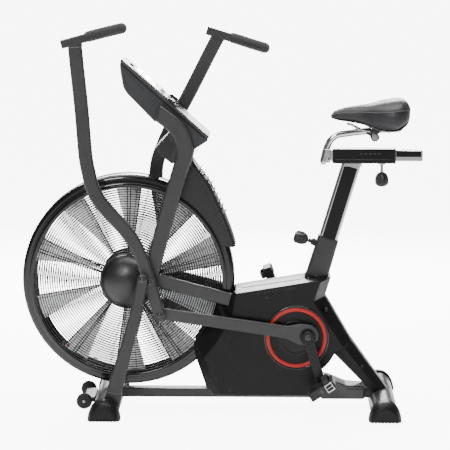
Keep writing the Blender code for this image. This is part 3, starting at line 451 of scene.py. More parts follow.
def coated(name, dark, light, rough=0.36, coat=0.25, grain=900.0, depth=0.00002, metal=0.0, spec=0.5):
    """Sprayed coat: slow tone drift, orange-peel bump, roughness that drifts."""
    n = Nodes(name)
    n.put("Base Color", n.mix(n.ramp(n.noise(6.0, 4.0), 0.0, 1.0), dark, light))
    n.put("Roughness", n.ramp(n.noise(38.0, 5.0, 0.65), rough - 0.05, rough + 0.07))
    n.put("Metallic", metal).put("Specular IOR Level", spec)
    n.put("Coat Weight", coat).put("Coat Roughness", 0.18)
    a = n.bump(n.noise(grain, 2.0, 0.5), depth, 0.5)
    n.put("Normal", n.bump(n.noise(70.0, 3.0), depth * 2.5, 0.25, a))
    return n.mat


def moulded(name, dark, light, rough=0.42, grain=1500.0, depth=0.00005, spec=0.5):
    """Moulded plastic with a fine leathery spark-eroded grain."""
    n = Nodes(name)
    n.put("Base Color", n.mix(n.ramp(n.noise(4.0, 3.0), 0.0, 1.0), dark, light))
    n.put("Roughness", n.ramp(n.noise(55.0, 4.0, 0.6), rough - 0.05, rough + 0.08))
    n.put("Specular IOR Level", spec)
    cells = n.cells(grain, "SMOOTH_F1")
    a = n.bump(cells, depth, 0.35)
    n.put("Normal", n.bump(n.noise(45.0, 2.0), 0.00008, 0.12, a))
    return n.mat


def glossy(name, dark, light, rough=0.1, coat=1.0):
    n = Nodes(name)
    n.put("Base Color", n.mix(n.ramp(n.noise(9.0, 3.0), 0.0, 1.0), dark, light))
    n.put("Roughness", n.ramp(n.noise(30.0, 5.0, 0.7), rough * 0.8, rough * 1.5))
    n.put("Coat Weight", coat).put("Coat Roughness", 0.04)
    n.put("Normal", n.bump(n.noise(22.0, 3.0), 0.00012, 0.12))
    return n.mat


def plated(name, color=(0.86, 0.86, 0.87), rough=0.07, stretch=(1, 1, 1)):
    """Chrome plate: faint polishing lines and a soft smear."""
    n = Nodes(name)
    n.put("Base Color", n.mix(n.ramp(n.noise(11.0, 3.0), 0.0, 1.0), tuple(c * 0.93 for c in color), color))
    n.put("Metallic", 1.0)
    n.put("Roughness", n.ramp(n.noise(60.0, 5.0, 0.7, stretch), rough * 0.7, rough * 1.7))
    n.put("Normal", n.bump(n.noise(420.0, 3.0, 0.6, stretch), 0.000012, 0.35))
    return n.mat


def turned_steel(name, color=(0.5, 0.5, 0.51), rough=0.28):
    n = Nodes(name)
    n.put("Base Color", n.mix(n.ramp(n.noise(40.0, 4.0), 0.0, 1.0), tuple(c * 0.82 for c in color), color))
    n.put("Metallic", 1.0)
    n.put("Roughness", n.ramp(n.noise(180.0, 4.0), rough * 0.8, rough * 1.3))
    n.put("Normal", n.bump(n.noise(900.0, 2.0, 0.5, (1, 0.12, 1)), 0.00002, 0.4))
    return n.mat


def rubbery(name, dark, light, rough=0.62, grain=1100.0, depth=0.00009):
    n = Nodes(name)
    n.put("Base Color", n.mix(n.ramp(n.noise(14.0, 4.0), 0.0, 1.0), dark, light))
    n.put("Roughness", n.ramp(n.noise(90.0, 4.0), rough - 0.08, rough + 0.1))
    n.put("Specular IOR Level", 0.4)
    n.put("Normal", n.bump(n.noise(grain, 3.0, 0.7), depth, 0.5))
    return n.mat


def foam(name):
    """Closed-cell foam: open pores, matt, soft bloom at the edge."""
    n = Nodes(name)
    n.put("Base Color", n.mix(n.ramp(n.noise(240.0, 4.0), 0.0, 1.0), (0.018, 0.018, 0.019), (0.04, 0.04, 0.042)))
    n.put("Roughness", n.ramp(n.noise(300.0, 3.0), 0.72, 0.9))
    n.put("Sheen Weight", 0.35).put("Sheen Roughness", 0.5)
    a = n.bump(n.cells(900.0), 0.00025, 0.7)
    n.put("Normal", n.bump(n.noise(90.0, 3.0), 0.0003, 0.25, a))
    return n.mat


def leatherette(name):
    """Coated cloth with a pebbled grain and faint stretch creases."""
    n = Nodes(name)
    n.put("Base Color", n.mix(n.ramp(n.noise(12.0, 4.0), 0.0, 1.0), (0.016, 0.016, 0.018), (0.032, 0.032, 0.035)))
    n.put("Roughness", n.ramp(n.noise(60.0, 5.0, 0.6), 0.36, 0.5))
    n.put("Specular IOR Level", 0.55).put("Sheen Weight", 0.12).put("Sheen Roughness", 0.4)
    a = n.bump(n.cells(1250.0, "SMOOTH_F1"), 0.00016, 0.55)
    b = n.bump(n.noise(26.0, 5.0, 0.6, (1.0, 2.6, 1.0)), 0.0011, 0.22, a)
    n.put("Normal", b)
    return n.mat


def window(name):
    """Smoked window over a plain display."""
    n = Nodes(name)
    n.put("Base Color", n.mix(n.ramp(n.noise(60.0, 2.0), 0.0, 1.0), (0.07, 0.085, 0.085), (0.1, 0.115, 0.112)))
    n.put("Roughness", n.ramp(n.noise(25.0, 4.0), 0.05, 0.13))
    n.put("Coat Weight", 1.0).put("Coat Roughness", 0.03)
    n.put("Normal", n.bump(n.noise(14.0, 2.0), 0.0001, 0.1))
    return n.mat

# ---------------------------------------------------------------- light levels
PAPER_GLOW = 8.0
SOFT_GLOW = 0.35
WORLD_GLOW = 0.12
LIGHTS = [
    ("overhead", (0.0, -0.1, 3.2), (0.0, 0.0, 0.6), (3.2, 2.0), 110.0),
    ("front_left", (-1.4, -4.4, 3.0), (-0.3, 0.0, 0.5), (1.2, 1.2), 85.0),
    ("behind", (-0.2, 3.2, 2.0), (-0.2, 0.0, 0.6), (3.0, 1.6), 300.0),
]
FRAME_COAT = coated("frame_coat", (0.033, 0.0332, 0.0342), (0.050, 0.0503, 0.0518), 0.33, 0.2, spec=0.45)
LEG_COAT = coated("leg_coat", (0.024, 0.0242, 0.025), (0.035, 0.0353, 0.0367), 0.31, 0.25, spec=0.45)
TOP_COAT = coated("stabiliser_coat", (0.035, 0.036, 0.038), (0.05, 0.051, 0.054), 0.3, 0.4, 900.0, 0.000006, spec=0.6)
COVER = moulded("cover_mould", (0.005, 0.005, 0.0055), (0.0095, 0.0095, 0.0105), 0.34, spec=0.3)
CONSOLE = moulded("console_mould", (0.03, 0.031, 0.033), (0.045, 0.046, 0.049), 0.38, 1700.0)
GUARD = moulded("guard_mould", (0.014, 0.014, 0.015), (0.022, 0.022, 0.024), 0.36)
KNOB = moulded("knob_mould", (0.014, 0.014, 0.015), (0.024, 0.024, 0.026), 0.38, 1300.0)
PEDAL = moulded("pedal_mould", (0.013, 0.013, 0.014), (0.024, 0.024, 0.026), 0.34, 1300.0)
GLOSS = glossy("hub_gloss", (0.006, 0.006, 0.007), (0.011, 0.011, 0.012), 0.34, 0.0)
GLOSS.node_tree.nodes["Principled BSDF"].inputs["Specular IOR Level"].default_value = 0.9
RIM = glossy("rim_gloss", (0.005, 0.005, 0.0055), (0.010, 0.010, 0.011), 0.1, 0.5)
# near-black rough moulding: the crank boss's own colour; elsewhere painted shade put in slots, screw cups, post holes
# and under the console face
BLACK_AND_PAINTED_SHADE = moulded("black_and_painted_recess_shade", (0.004, 0.004, 0.004), (0.008, 0.008, 0.008), 0.6)
WIRE = coated("wire_coat", (0.012, 0.012, 0.013), (0.02, 0.02, 0.021), 0.3, 0.3, 1200.0)
RED = coated("ring_red", (0.52, 0.014, 0.010), (0.62, 0.022, 0.016), 0.4, 0.12, 1400.0)
RED_DARK = coated("clip_red", (0.16, 0.012, 0.012), (0.24, 0.02, 0.02), 0.4, 0.2)
CHROME = plated("chrome_plate")
CHROME_POST = plated("chrome_post", (0.84, 0.84, 0.85), 0.08, (1, 1, 0.08))
BUCKLE = plated("buckle_plate", (0.8, 0.8, 0.8), 0.2)
STEEL = turned_steel("turned_steel")
BOLT = plated("bolt_plate", (0.55, 0.55, 0.56), 0.2)
DARK_BOLT = plated("bolt_burnished", (0.10, 0.10, 0.105), 0.26)
BLACK_BOLT = coated("bolt_black", (0.018, 0.018, 0.019), (0.03, 0.03, 0.031), 0.22, 0.5, 1500.0)
CRANKM = coated("crank_coat", (0.005, 0.005, 0.0055), (0.010, 0.010, 0.011), 0.2, 0.1, spec=0.28)
BLADE = coated("blade_nylon", (0.84, 0.84, 0.845), (0.90, 0.90, 0.905), 0.45, 0.1, 800.0)
BLADE.node_tree.nodes["Principled BSDF"].inputs["Subsurface Weight"].default_value = 0.75
BLADE.node_tree.nodes["Principled BSDF"].inputs["Subsurface Scale"].default_value = 0.02
BLADE.node_tree.nodes["Principled BSDF"].inputs["Subsurface Radius"].default_value = (1.0, 1.0, 1.0)
# dark coat: painted shade on the lines along the fan blades' edges, and the drum's own colour
EDGE_SHADE_AND_DRUM = coated("blade_edge_shade_and_drum", (0.03, 0.03, 0.031), (0.045, 0.045, 0.047), 0.45, 0.1)
RUBBER = rubbery("foot_rubber", (0.008, 0.008, 0.0085), (0.015, 0.015, 0.0155), 0.42)
RUBBER.node_tree.nodes["Principled BSDF"].inputs["Specular IOR Level"].default_value = 0.28
BELT = rubbery("belt_rubber", (0.014, 0.014, 0.014), (0.026, 0.026, 0.026), 0.7)
STRAPM = rubbery("strap_rubber", (0.014, 0.014, 0.015), (0.028, 0.028, 0.029), 0.5)
TYREM = rubbery("wheel_rubber", (0.014, 0.014, 0.015), (0.028, 0.028, 0.029), 0.5)
FOAM = foam("grip_foam")
LEATHER = leatherette("saddle_leatherette")
PIPING = rubbery("saddle_piping", (0.10, 0.10, 0.105), (0.14, 0.14, 0.145), 0.42, 1600.0, 0.00004)
SCREEN = window("display_window")
SHADE = moulded("saddle_base_mould", (0.012, 0.012, 0.013), (0.02, 0.02, 0.022), 0.45)


def disc_bolt(x, z, y, s, r, h, hexed=False, n=40):
    """Domed bolt head on a washer, its foot at |y|, standing out on side s."""
    prof = [(0, y), (r * 1.32, y), (r * 1.32, y + h * 0.16), (r * 1.02, y + h * 0.2)]
    for k in range(0, 9):
        a = math.pi / 2 * k / 8
        prof.append((r * math.cos(a) if k < 8 else 0.0, y + h * 0.2 + h * 0.8 * math.sin(a)))
    return lathe([(max(p, 0.0), s * q) for p, q in prof], x, z, n)


def hex_bolt(x, z, y, s, r, h):
    """Hexagon head with a washer."""
    return merged(cyl(x, z, r * 1.35, *sorted((s * y, s * (y + h * 0.22))), 40), prism(circle(x, z, r, 6, 0.3), *sorted((s * (y + h * 0.2), s * (y + h)))))


def socket_screw(x, z, y, s, r):
    """Sunk screw: a cup ring, shown black as painted shade of the hole, and a small socket head in it."""
    ring = lathe([(r, s * (y - 0.5)), (r + 1.6, s * (y - 0.5)), (r + 1.6, s * (y + 0.5)), (r + 0.8, s * (y + 0.9)), (r, s * (y + 0.4))], x, z, 40)
    cup = cyl(x, z, r + 0.4, *sorted((s * (y - 0.6), s * (y + 0.12))), 32)
    return merged(ring, cup), cyl(x, z, r * 0.55, *sorted((s * (y + 0.1), s * (y + 0.55))), 6)


# ---------------------------------------------------------------- base
D_TUBE = smooth_path([(-42, 8), (-42.5, 18), (-40.5, 30), (-35, 42), (-25, 52.5), (-13, 59.5), (0, 61.5), (13, 59.5), (25, 52.5), (35, 42), (40.5, 30), (42.5, 18), (42, 8)], 4)


def grown(pts, d, cx=0.0, cz=30.0):
    out = []
    for x, z in pts:
        L = math.hypot(x - cx, z - cz)
        out.append((x + (x - cx) / L * d, z + (z - cz) / L * d))
    return out


CAP = smooth_path([(-52.5, 7), (-50, 20), (-44.5, 36), (-36, 50), (-25, 60), (-12, 66), (0, 68), (12, 66), (25, 60), (36, 50), (44.5, 36), (50, 20), (52.5, 7)], 4)
for nm, cx in (("front", FRONT_X), ("rear", REAR_X)):
    piece(f"stabiliser_{nm}", prism([(cx + x, z) for x, z in D_TUBE], -216, 216), "frame", TOP_COAT, f"{nm}_stabiliser", bevel=1.2, sharp=40)
    for side, s in SIDES:
        secs = []
        for yy, k, foot in ((214.9, 0.955, 1.2), (215.4, 0.985, 0.5), (217, 1.0, 0.0), (222, 1.0, 0.0), (222.8, 0.985, 0.0), (224.2, 0.985, 0.0), (225, 1.0, 0.0), (233, 0.995, 0.0), (241, 0.975, 0.0), (248, 0.945, 0.0), (254, 0.905, 0.2), (259, 0.86, 0.8), (263, 0.80, 1.8), (265.5, 0.735, 3.2), (266.7, 0.66, 5.0), (267, 0.58, 7.0)):
            ring = [(-52.5 * k, foot), *[(x * k, 7 * k + (z - 7) * k if z > 7 else z) for x, z in CAP], (52.5 * k, foot)]
            secs.append([P(cx + x, s * yy, z) for x, z in (ring if s > 0 else ring)])
        piece(f"foot_{nm}_{side}", loft(secs), "frame", RUBBER, f"foot_cap_{nm}_{side}", sharp=50)
        tread = [prism([(cx - 44 + 11 * k, 0.0), (cx - 38 + 11 * k, 0.0), (cx - 38 + 11 * k, 1.4), (cx - 44 + 11 * k, 1.4)], *ys(s, (219, 262))) for k in range(8)]
        piece(f"foot_tread_{nm}_{side}", merged(*tread), "frame", RUBBER)
# slot in the rear stabiliser's top
# the slot is a thin black sheet on the tube, painted shade of its inside
piece("stabiliser_slot_shade", prism([(REAR_X - 8, 60.4), (REAR_X + 17, 56.5), (REAR_X + 17, 58.9), (REAR_X - 8, 62.2)], -152.5, -146.5), "frame", BLACK_AND_PAINTED_SHADE)
D_CUT_FRONT = cutter(prism([(FRONT_X + x, z) for x, z in grown(D_TUBE, 0.2)], -213, 213))
D_CUT_REAR = cutter(prism([(REAR_X + x, z) for x, z in grown(D_TUBE, 0.2)], -213, 213))
piece("rail_beam", prism([(-366, 28), (512, 28), (512, 57), (-366, 57)], -25, 25), "frame", FRAME_COAT, "base_rail", bevel=4, segments=4)
piece("rail_skirt", prism([(319.5, 27.4), (319.5, 101), (327, 101), (345, 96), (398, 74), (430, 71), (460, 70), (460, 27.4)], -44, 44), "frame", TOP_COAT, bevel=5, segments=4, angle=10, sharp=24)
# the skirt's slots are thin black strips, painted shade of their insides
piece("skirt_slot_shade", merged(*[prism([(399, 63.4), (464, 63.4), (464, 60.2), (405, 60.2)], *ys(s, (43.2, 44.25))) for s in (-1, 1)]), "frame", BLACK_AND_PAINTED_SHADE)

# ---------------------------------------------------------------- covers
A_IN = [-10 - 34 * k / 11 for k in range(12)]
A_OUT = [-22.5 - 22.5 * k / 11 for k in range(12)]
FRONT_ARC_IN = [(FAN[0] + 292 * math.cos(math.radians(a)), FAN[1] + 292 * math.sin(math.radians(a))) for a in A_IN]
FRONT_ARC_OUT = [(FAN[0] + 345 * math.cos(math.radians(a)), FAN[1] + 345 * math.sin(math.radians(a))) for a in A_OUT]
BOSS_A = [-28 - 24 * k / 9 for k in range(10)]
BASE_LINE = [
    (36, 386, 70), (60, 390.5, 29), (258, 421.5, 29), (328, 432, 29), (349.5, 430.5, 40), (330, 368, 42), (416, 222, 42), (361, 187, 90),
] + [(CRANK[0] + 134 * math.cos(math.radians(a)), CRANK[1] + 134 * math.sin(math.radians(a)), 88) for a in BOSS_A] + [
    (317, 104, 84), (310, 46, 84), (-30, 45.5, 72), (-52, 68.5, 66), (-89, 176, 62.8),
] + [(x, z, 62.8) for x, z in FRONT_ARC_IN[::-1]]
RIDGE_LINE = [
    (44, 384), (62, 387), (248, 418), (300, 426), (314, 423), (293, 360), (393, 207), (359, 189),
] + [(CRANK[0] + 130 * math.cos(math.radians(a)), CRANK[1] + 130 * math.sin(math.radians(a))) for a in BOSS_A] + [
    (309, 104), (300, 52), (-2, 52), (-22, 74), (-55, 168),
] + FRONT_ARC_OUT[::-1]
RIDGE_LINE[-1] = (25, 284)


def cover_body(s):
    n = len(BASE_LINE)
    bm = bmesh.new()
    mid = [bm.verts.new(P(x, s * 0.3, z)) for x, z, _ in BASE_LINE]
    low = [bm.verts.new(P(x, s * y, z)) for x, z, y in BASE_LINE]
    top = [bm.verts.new(P(x, s * Y_COVER, z)) for x, z in RIDGE_LINE]
    for i in range(n):
        j = (i + 1) % n
        bm.faces.new((mid[i], mid[j], low[j], low[i]))
        bm.faces.new((low[i], low[j], top[j], top[i]))
    bm.faces.new(mid)
    bm.faces.new(top)
    clean(bm)
    return bm


FAN_CUT = cutter(lathe([(0, -62.3), (348, -62.3), (348, 62.3), (0, 62.3)], *FAN, n=144))
sdx, sdz = 27 + 219, 362 - 427
sl = math.hypot(sdx, sdz)
sux, suz = sdx / sl, sdz / sl


def along(t, h):
    return (-219 + sux * t - suz * h, 427 + suz * t + sux * h)


for side, s in SIDES:
    gate = cutter(prism([along(150, -22.2), along(252, -22.2), along(252, 22.2), along(150, 22.2)], *sorted((s * 74.5, s * 120.0))))
    axle_hole = cutter(cyl(*CRANK, 34, *sorted((s * 60, s * 120)), 64))
    piece(f"shell_{side}", cover_body(s), "frame", COVER, f"cover_{side}", bevel=3.2, segments=4, angle=9, cuts=[gate, axle_hole, FAN_CUT], sharp=28)
    y = ys(s, Y_RING)
    Rm, w, h = 91.75, 6.25, 3.0
    prof = [(Rm + w * math.cos(a) * (1 if abs(math.cos(a)) < 0.9 else 1), 98.2 + max(0.0, h * math.sin(a)) ** 1.0) for a in [math.pi * k / 16 for k in range(17)]]
    prof = [(r, s * yy) for r, yy in prof] + [(85.5, s * 97.4), (98.0, s * 97.4)]
    piece(f"ring_red_{side}", lathe(prof, *CRANK, n=160), "frame", RED, f"accent_ring_{side}", sharp=60)
    # raised lip round the ring, dished floor inside it, concentric steps
    piece(f"ring_lip_{side}", lathe([(99.4, s * 96), (105.5, s * 96), (105.5, s * 98.4), (104.0, s * 100.6), (101.6, s * 101.2), (99.8, s * 100.4), (99.4, s * 98.6)], *CRANK, n=160), "frame", RIM, sharp=50)
    piece(f"ring_floor_{side}", lathe([(34, s * 95), (85, s * 95), (85, s * 98.8), (82.5, s * 98.9), (79, s * 98.15), (64.5, s * 98.15), (62.5, s * 98.7), (60.6, s * 98.2), (34, s * 97.9)], *CRANK, n=128), "frame", COVER, sharp=40)
    # moulded ridges low on the front half, and the arc that follows the cage
    beads = [tube3d([(FAN[0] + R * math.cos(math.radians(a)), s * 97.6, FAN[1] + R * math.sin(math.radians(a))) for a in (-20.5, -24, -28, -32)], 1.1, 8, 5) for R in (362, 382)]
    piece(f"shell_beads_{side}", merged(*beads), "frame", COVER)
    # row of embossed marks below the top edge
    marks = []
    for k in range(11):
        x0 = 112 + 11.6 * k
        z0 = 384.5 + (x0 - 112) * 0.165
        marks.append(tube3d([(x0, s * 98.1, z0 - 3.2), (x0 + 3.4, s * 98.2, z0 + 2.2), (x0 + 6.8, s * 98.1, z0 - 1.0)], 1.05, 8, 4, 2))
    piece(f"shell_marks_{side}", merged(*marks), "frame", RIM)
    cups, heads = [], []
    for x, z, yy in ((144.6, 371, 98), (-20, 106, 97.9), (24, 66, 98.0), (285, 66, 98.0)):
        a, b = socket_screw(x, z, yy, s, 4.0)
        cups.append(a)
        heads.append(b)
    # the cups are black as painted shade of the sunk screw holes
    piece(f"shell_screw_shade_cups_{side}", merged(*cups), "frame", BLACK_AND_PAINTED_SHADE)
    piece(f"shell_screws_{side}", merged(*heads), "frame", BLACK_BOLT)
# light strip on the top of the covers, either side of the split line between the halves; its lighter coat is a painted
# highlight for the lit top face
piece("shell_top_painted_highlight", merged(*[prism([(62, 391.2), (257, 421.8), (257, 423.0), (62, 392.4)], *ys(s, (0.8, 28))) for s in (-1, 1)]), "frame", TOP_COAT, bevel=0.5, segments=2)


# rear leg: tapering six-sided casing
def leg_section(front, ridge, rear, yf, yr, yb):
    pts = [(front, -yf), (ridge, -yr), (rear, -yb), (rear, yb), (ridge, yr), (front, yf)]
    return [P(p[0], y, p[1]) for p, y in pts]


piece("leg_rear_casing", loft([
    leg_section((357.8, 189.9), (388.7, 212.0), (411.3, 232.2), 85.5, 96.6, 41.5),
    leg_section((361.5, 186.0), (393.2, 206.2), (416.6, 221.2), 88, 97.4, 42),
    leg_section((502, 34), (522, 38), (546, 43), 44, 47, 27),
]), "frame", COVER, "rear_leg", bevel=3.2, segments=4, angle=12, sharp=26)
# black screw cups on the rear leg's side and on the cover behind the pedals, painted shade of the screw holes
piece("leg_screw_shade_cups", merged(*[cyl(x, z, 5.2, *ys(s, (a, b)), 32) for s in (-1, 1) for x, z, a, b in ((333, 330.5, 70, 90.5), (451, 141, 60, 76.0))]), "frame", BLACK_AND_PAINTED_SHADE)

# ---------------------------------------------------------------- frame tubes
LEG_LINE = [(-357, 22, 50), (-341, 89, 49), (-299, 238, 38.5), (-264, 377, 33), (-251, 443, 34)]
MAST_LINE = [(-232, 430, 46), (-201, 552, 48), (-168, 668, 49.5), (-134.5, 783, 50.5), (-122, 818, 51), (-119, 852, 51), (-128, 887, 51), (-150, 920, 51), (-176, 943, 50), (-194, 956.5, 49)]
MAST_OUTLINE = ribbon(MAST_LINE, 6, "round", "flat")
mast_turn = 6 * (len(MAST_LINE) - 1) + 1
MAST_OUTLINE[mast_turn - 6:mast_turn + 6] = [(-213, 939.5), (-197, 990)]
STRUT = [along(0, -21), along(252, -21), along(252, 21), along(0, 21)]
PLUG = [(150, 309), (184, 301), (184, 391), (150, 391), (142, 352)]
for side, s in SIDES:
    piece(f"leg_{side}", prism(ribbon(LEG_LINE, 6, "flat", "round"), *ys(s, Y_LEG)), "frame", LEG_COAT, f"front_leg_{side}", bevel=7, segments=5, angle=60, sharp=40)
    # socket collar at the foot of the leg
    collar = ribbon([(-358, 17, 55), (-351, 48, 55), (-343.5, 79, 54)], 1)
    piece(f"leg_collar_{side}", prism(collar, *ys(s, (165.2, 198.8))), "frame", LEG_COAT, bevel=7, segments=5, angle=50, sharp=40)
    piece(f"mast_{side}", prism(MAST_OUTLINE, *ys(s, Y_FRAME)), "frame", FRAME_COAT, f"side_frame_{side}", bevel=7, segments=5, angle=50, sharp=40)
    piece(f"strut_{side}", prism(STRUT, *ys(s, Y_STRUT)), "frame", FRAME_COAT, bevel=5, segments=4, angle=50, sharp=40)
    piece(f"strut_plug_{side}", prism(PLUG, *ys(s, (76.2, 92.8))), "frame", FRAME_COAT, bevel=2)
    e0, e1 = along(251.2, -19.5), along(251.2, 19.5)
    e2, e3 = along(248.8, 19.5), along(248.8, -19.5)
    piece(f"strut_cap_{side}", prism([e3, e0, e1, e2], *ys(s, (77, 94.2))), "frame", TOP_COAT, bevel=0.8, segments=2)
    # weld beads where the strut meets the mast
    weld = []
    for h in (-21, 21):
        q = [along(18 + 5 * k, h + 0.6 * math.sin(k * 2.3)) for k in range(9)]
        weld.append(tube3d([(x, s * (84 + 0.5 * math.cos(k * 1.7)), z) for k, (x, z) in enumerate(q)], 2.4, 10, 4, 2))
    piece(f"strut_weld_{side}", merged(*weld), "frame", FRAME_COAT)
    # pivot bracket: inner plate to the fan axle, sleeve and pin, outer plate to the leg
    pa, pb = ys(s, (102.5, 107.5)), ys(s, Y_PLATE)
    body = lathe([(0, s * 103.5), (17, s * 103.5), (17, s * 133.4), (8.5, s * 133.4), (8.5, s * 167), (0, s * 167)], *PIVOT, n=40)
    inner = prism(taper_round(PIVOT, 24, FAN, 18), *pa)
    outer = prism(obround(PIVOT, (-251, 443), 17.5), *pb)
    piece(f"bracket_{side}", merged(body, inner, outer), "frame", LEG_COAT, f"pivot_bracket_{side}", bevel=1.2, segments=3, angle=60, sharp=40)
    piece(f"bracket_bolts_{side}", merged(disc_bolt(PIVOT[0], PIVOT[1], 166.4, s, 7.0, 6.4), disc_bolt(-251, 443, 195.6, s, 7.4, 6.6), disc_bolt(-252, 466.5 - 4, 195.6, s, 2.6, 2.6)), "frame", DARK_BOLT)
    # two bolts at the foot of the leg
    piece(f"leg_bolts_{side}", merged(disc_bolt(-352, 52, 198.6, s, 4.6, 3.2), disc_bolt(-345.5, 72, 198.6, s, 2.6, 1.8)), "frame", BLACK_BOLT)

# bridge between the two masts behind the console; a lighter strip on its front edge is a painted highlight
piece("mast_bridge", prism([(-212, 850), (-176, 889), (-150, 860), (-166, 812), (-190, 820)], -75.8, 75.8), "frame", GUARD, bevel=2.5, segments=3, angle=20)
piece("bridge_edge_painted_highlight", prism([(-214.0, 850.4), (-177.0, 890.6), (-175.0, 888.6), (-211.6, 848.6)], -70, 70), "frame", TOP_COAT, bevel=0.6, segments=2)
piece("bridge_gusset", merged(*[prism([(-199, 842), (-181, 846), (-186, 822)], *ys(s, (60, 62.5))) for s in (-1, 1)]), "frame", CHROME, bevel=0.5, segments=2)


# ---------------------------------------------------------------- seat tube
def seat_axis(h):
    return (SEAT_TOP[0] + SEAT_DIR.x * h, SEAT_TOP[1] + SEAT_DIR.z * h)


def rounded(hw, hy, c, n=6):
    """Rounded rectangle corners, counter-clockwise."""
    out = []
    for cx, cy, a0 in ((hw - c, hy - c, 0), (-hw + c, hy - c, 90), (-hw + c, -hy + c, 180), (hw - c, -hy + c, 270)):
        for k in range(n + 1):
            a = math.radians(a0 + 90 * k / n)
            out.append((cx + c * math.cos(a), cy + c * math.sin(a)))
    return out


def seat_section(h, hw, hy, c=9.0, skew=0.0):
    ux, uz = SEAT_DIR.z, -SEAT_DIR.x
    out = []
    for a, b in rounded(hw, hy, c):
        x, z = seat_axis(h + skew * a)
        out.append(P(x + ux * a, b, z + uz * a))
    return out


kb = seat_axis(-27)
knob_dir = Vector((-SEAT_DIR.z, 0, SEAT_DIR.x))
pocket = cutter(loft([seat_section(-110, 30.6, 18.6, 7), seat_section(20, 30.6, 18.6, 7)]))
piece("seat_mast", loft([seat_section(-505, 27, 24), seat_section(-252, 27, 24), seat_section(-244, 34.2, 24), seat_section(-166, 34.2, 24), seat_section(-158, 35.5, 27), seat_section(-126, 35.5, 28), seat_section(-60, 34.6, 26), seat_section(-4, 33.5, 24), seat_section(-1, 33.2, 23.7), seat_section(0, 32.3, 22.8)]), "frame", FRAME_COAT, "seat_tube", cuts=[pocket], sharp=40)
piece("seat_mast_boss", lathe_dir([(0, 31.2), (12.4, 31.2), (12.4, 33), (11.3, 34), (11.3, 49), (10.2, 50), (6.5, 50), (6.5, 58.5), (4.2, 60), (0, 60)], (kb[0], 0, kb[1]), knob_dir, 40), "frame", KNOB, sharp=40)
# plastic bush at the mouth of the sleeve, and the collar at its foot
piece("seat_mast_bush", loft([seat_section(-3, 32.8, 23.2), seat_section(0.8, 32.8, 23.2), seat_section(1.8, 32.0, 22.4), seat_section(1.8, 30.5, 18.5, 7), seat_section(-3, 30.5, 18.5, 7)]), "frame", GUARD, sharp=40)
piece("seat_collar", loft([seat_section(-152, 36.2, 28.4), seat_section(-142, 37.2, 29.2), seat_section(-130, 37.2, 29.2), seat_section(-127, 36.4, 28.6)]), "frame", KNOB, sharp=40)
piece("seat_collar_screws", merged(*[tube3d([(x, s * 28.2, z), (x + 1, s * 31.0, z + 1)], 2.6, 16, 1, 3) for s in (-1, 1) for x, z in ((276, 424), (300, 431))]), "frame", BOLT)

# ---------------------------------------------------------------- fan cage
for side, s in SIDES:
    rings = []
    count = 28
    for k in range(count):
        R = 97 + (305 - 97) * k / (count - 1)
        yy = s * (58.6 + 3.0 * math.cos(math.pi / 2 * k / (count - 1)))
        rings.append(torus(FAN[0], yy, FAN[1], R, 1.6, 120, 6))
    for k in range(20):
        a = 2 * math.pi * (k + 0.3) / 20
        c, sn = math.cos(a), math.sin(a)
        rings.append(tube3d([(FAN[0] + c * 84, s * 60.4, FAN[1] + sn * 84), (FAN[0] + c * 200, s * 58.4, FAN[1] + sn * 200), (FAN[0] + c * 314, s * 57.0, FAN[1] + sn * 314)], 0.75, 6, 4))
    for k in range(5):
        for d in (-1.1, 1.1):
            a = math.radians(17 + 72 * k + d * 0.9)
            c, sn = math.cos(a), math.sin(a)
            rings.append(tube3d([(FAN[0] + c * 84, s * 59.6, FAN[1] + sn * 84), (FAN[0] + c * 200, s * 57.4, FAN[1] + sn * 200), (FAN[0] + c * 314, s * 55.8, FAN[1] + sn * 314)], 1.9, 8, 4))
    piece(f"wires_{side}", merged(*rings), "frame", WIRE, f"cage_{side}", sharp=70)
    # rolled border of the grille
    piece(f"border_{side}", lathe([(304 + 7.2 * 1.0 + 7.4 * math.cos(a), s * (57.6 + 3.1 * math.sin(a))) for a in [2 * math.pi * k / 14 for k in range(14)]], *FAN, n=160), "frame", RIM, sharp=60)
# rim band with fine turned ribs
prof = [(318, -56.0)]
steps = 9
for k in range(steps):
    f = k / (steps - 1)
    r, y = 320 + (342.0 - 320) * math.sin(f * math.pi / 2), -56.0 + (56.0 - 32) * (1 - math.cos(f * math.pi / 2))
    prof += [(r - 0.6, y - 0.0), (r + 0.5, y + 0.8), (r + 0.5, y + 1.7), (r - 0.4, y + 2.2)]
front = prof[:]
front.sort(key=lambda p: p[1])
mid = [(342.6, -29), (343.0, -26), (343.0, -9), (342.2, -8), (342.2, 8), (343.0, 9), (343.0, 26), (342.6, 29)]
band = [(r, y) for r, y in front if y < -29.5] + mid + [(r, -y) for r, y in reversed(front) if y < -29.5]
band += [(310, 56.0), (310, 53), (330.5, 47), (338.5, 31), (338.5, -31), (330.5, -47), (310, -53), (310, -56.0)]
piece("rim_band", lathe(band, *FAN, n=200), "frame", RIM, "cage_band", sharp=32)
# clips that hold the two grilles to the band
clips = []
for k in range(8):
    a = math.radians(22.5 + 45 * k)
    c, sn = math.cos(a), math.sin(a)
    for s in (-1, 1):
        clips.append(tube3d([(FAN[0] + c * 305 - sn * d, s * 60.4, FAN[1] + sn * 305 + c * d) for d in (-7, 0, 7)], 2.3, 10, 3, 3))
piece("rim_clips", merged(*clips), "frame", BLACK_BOLT)

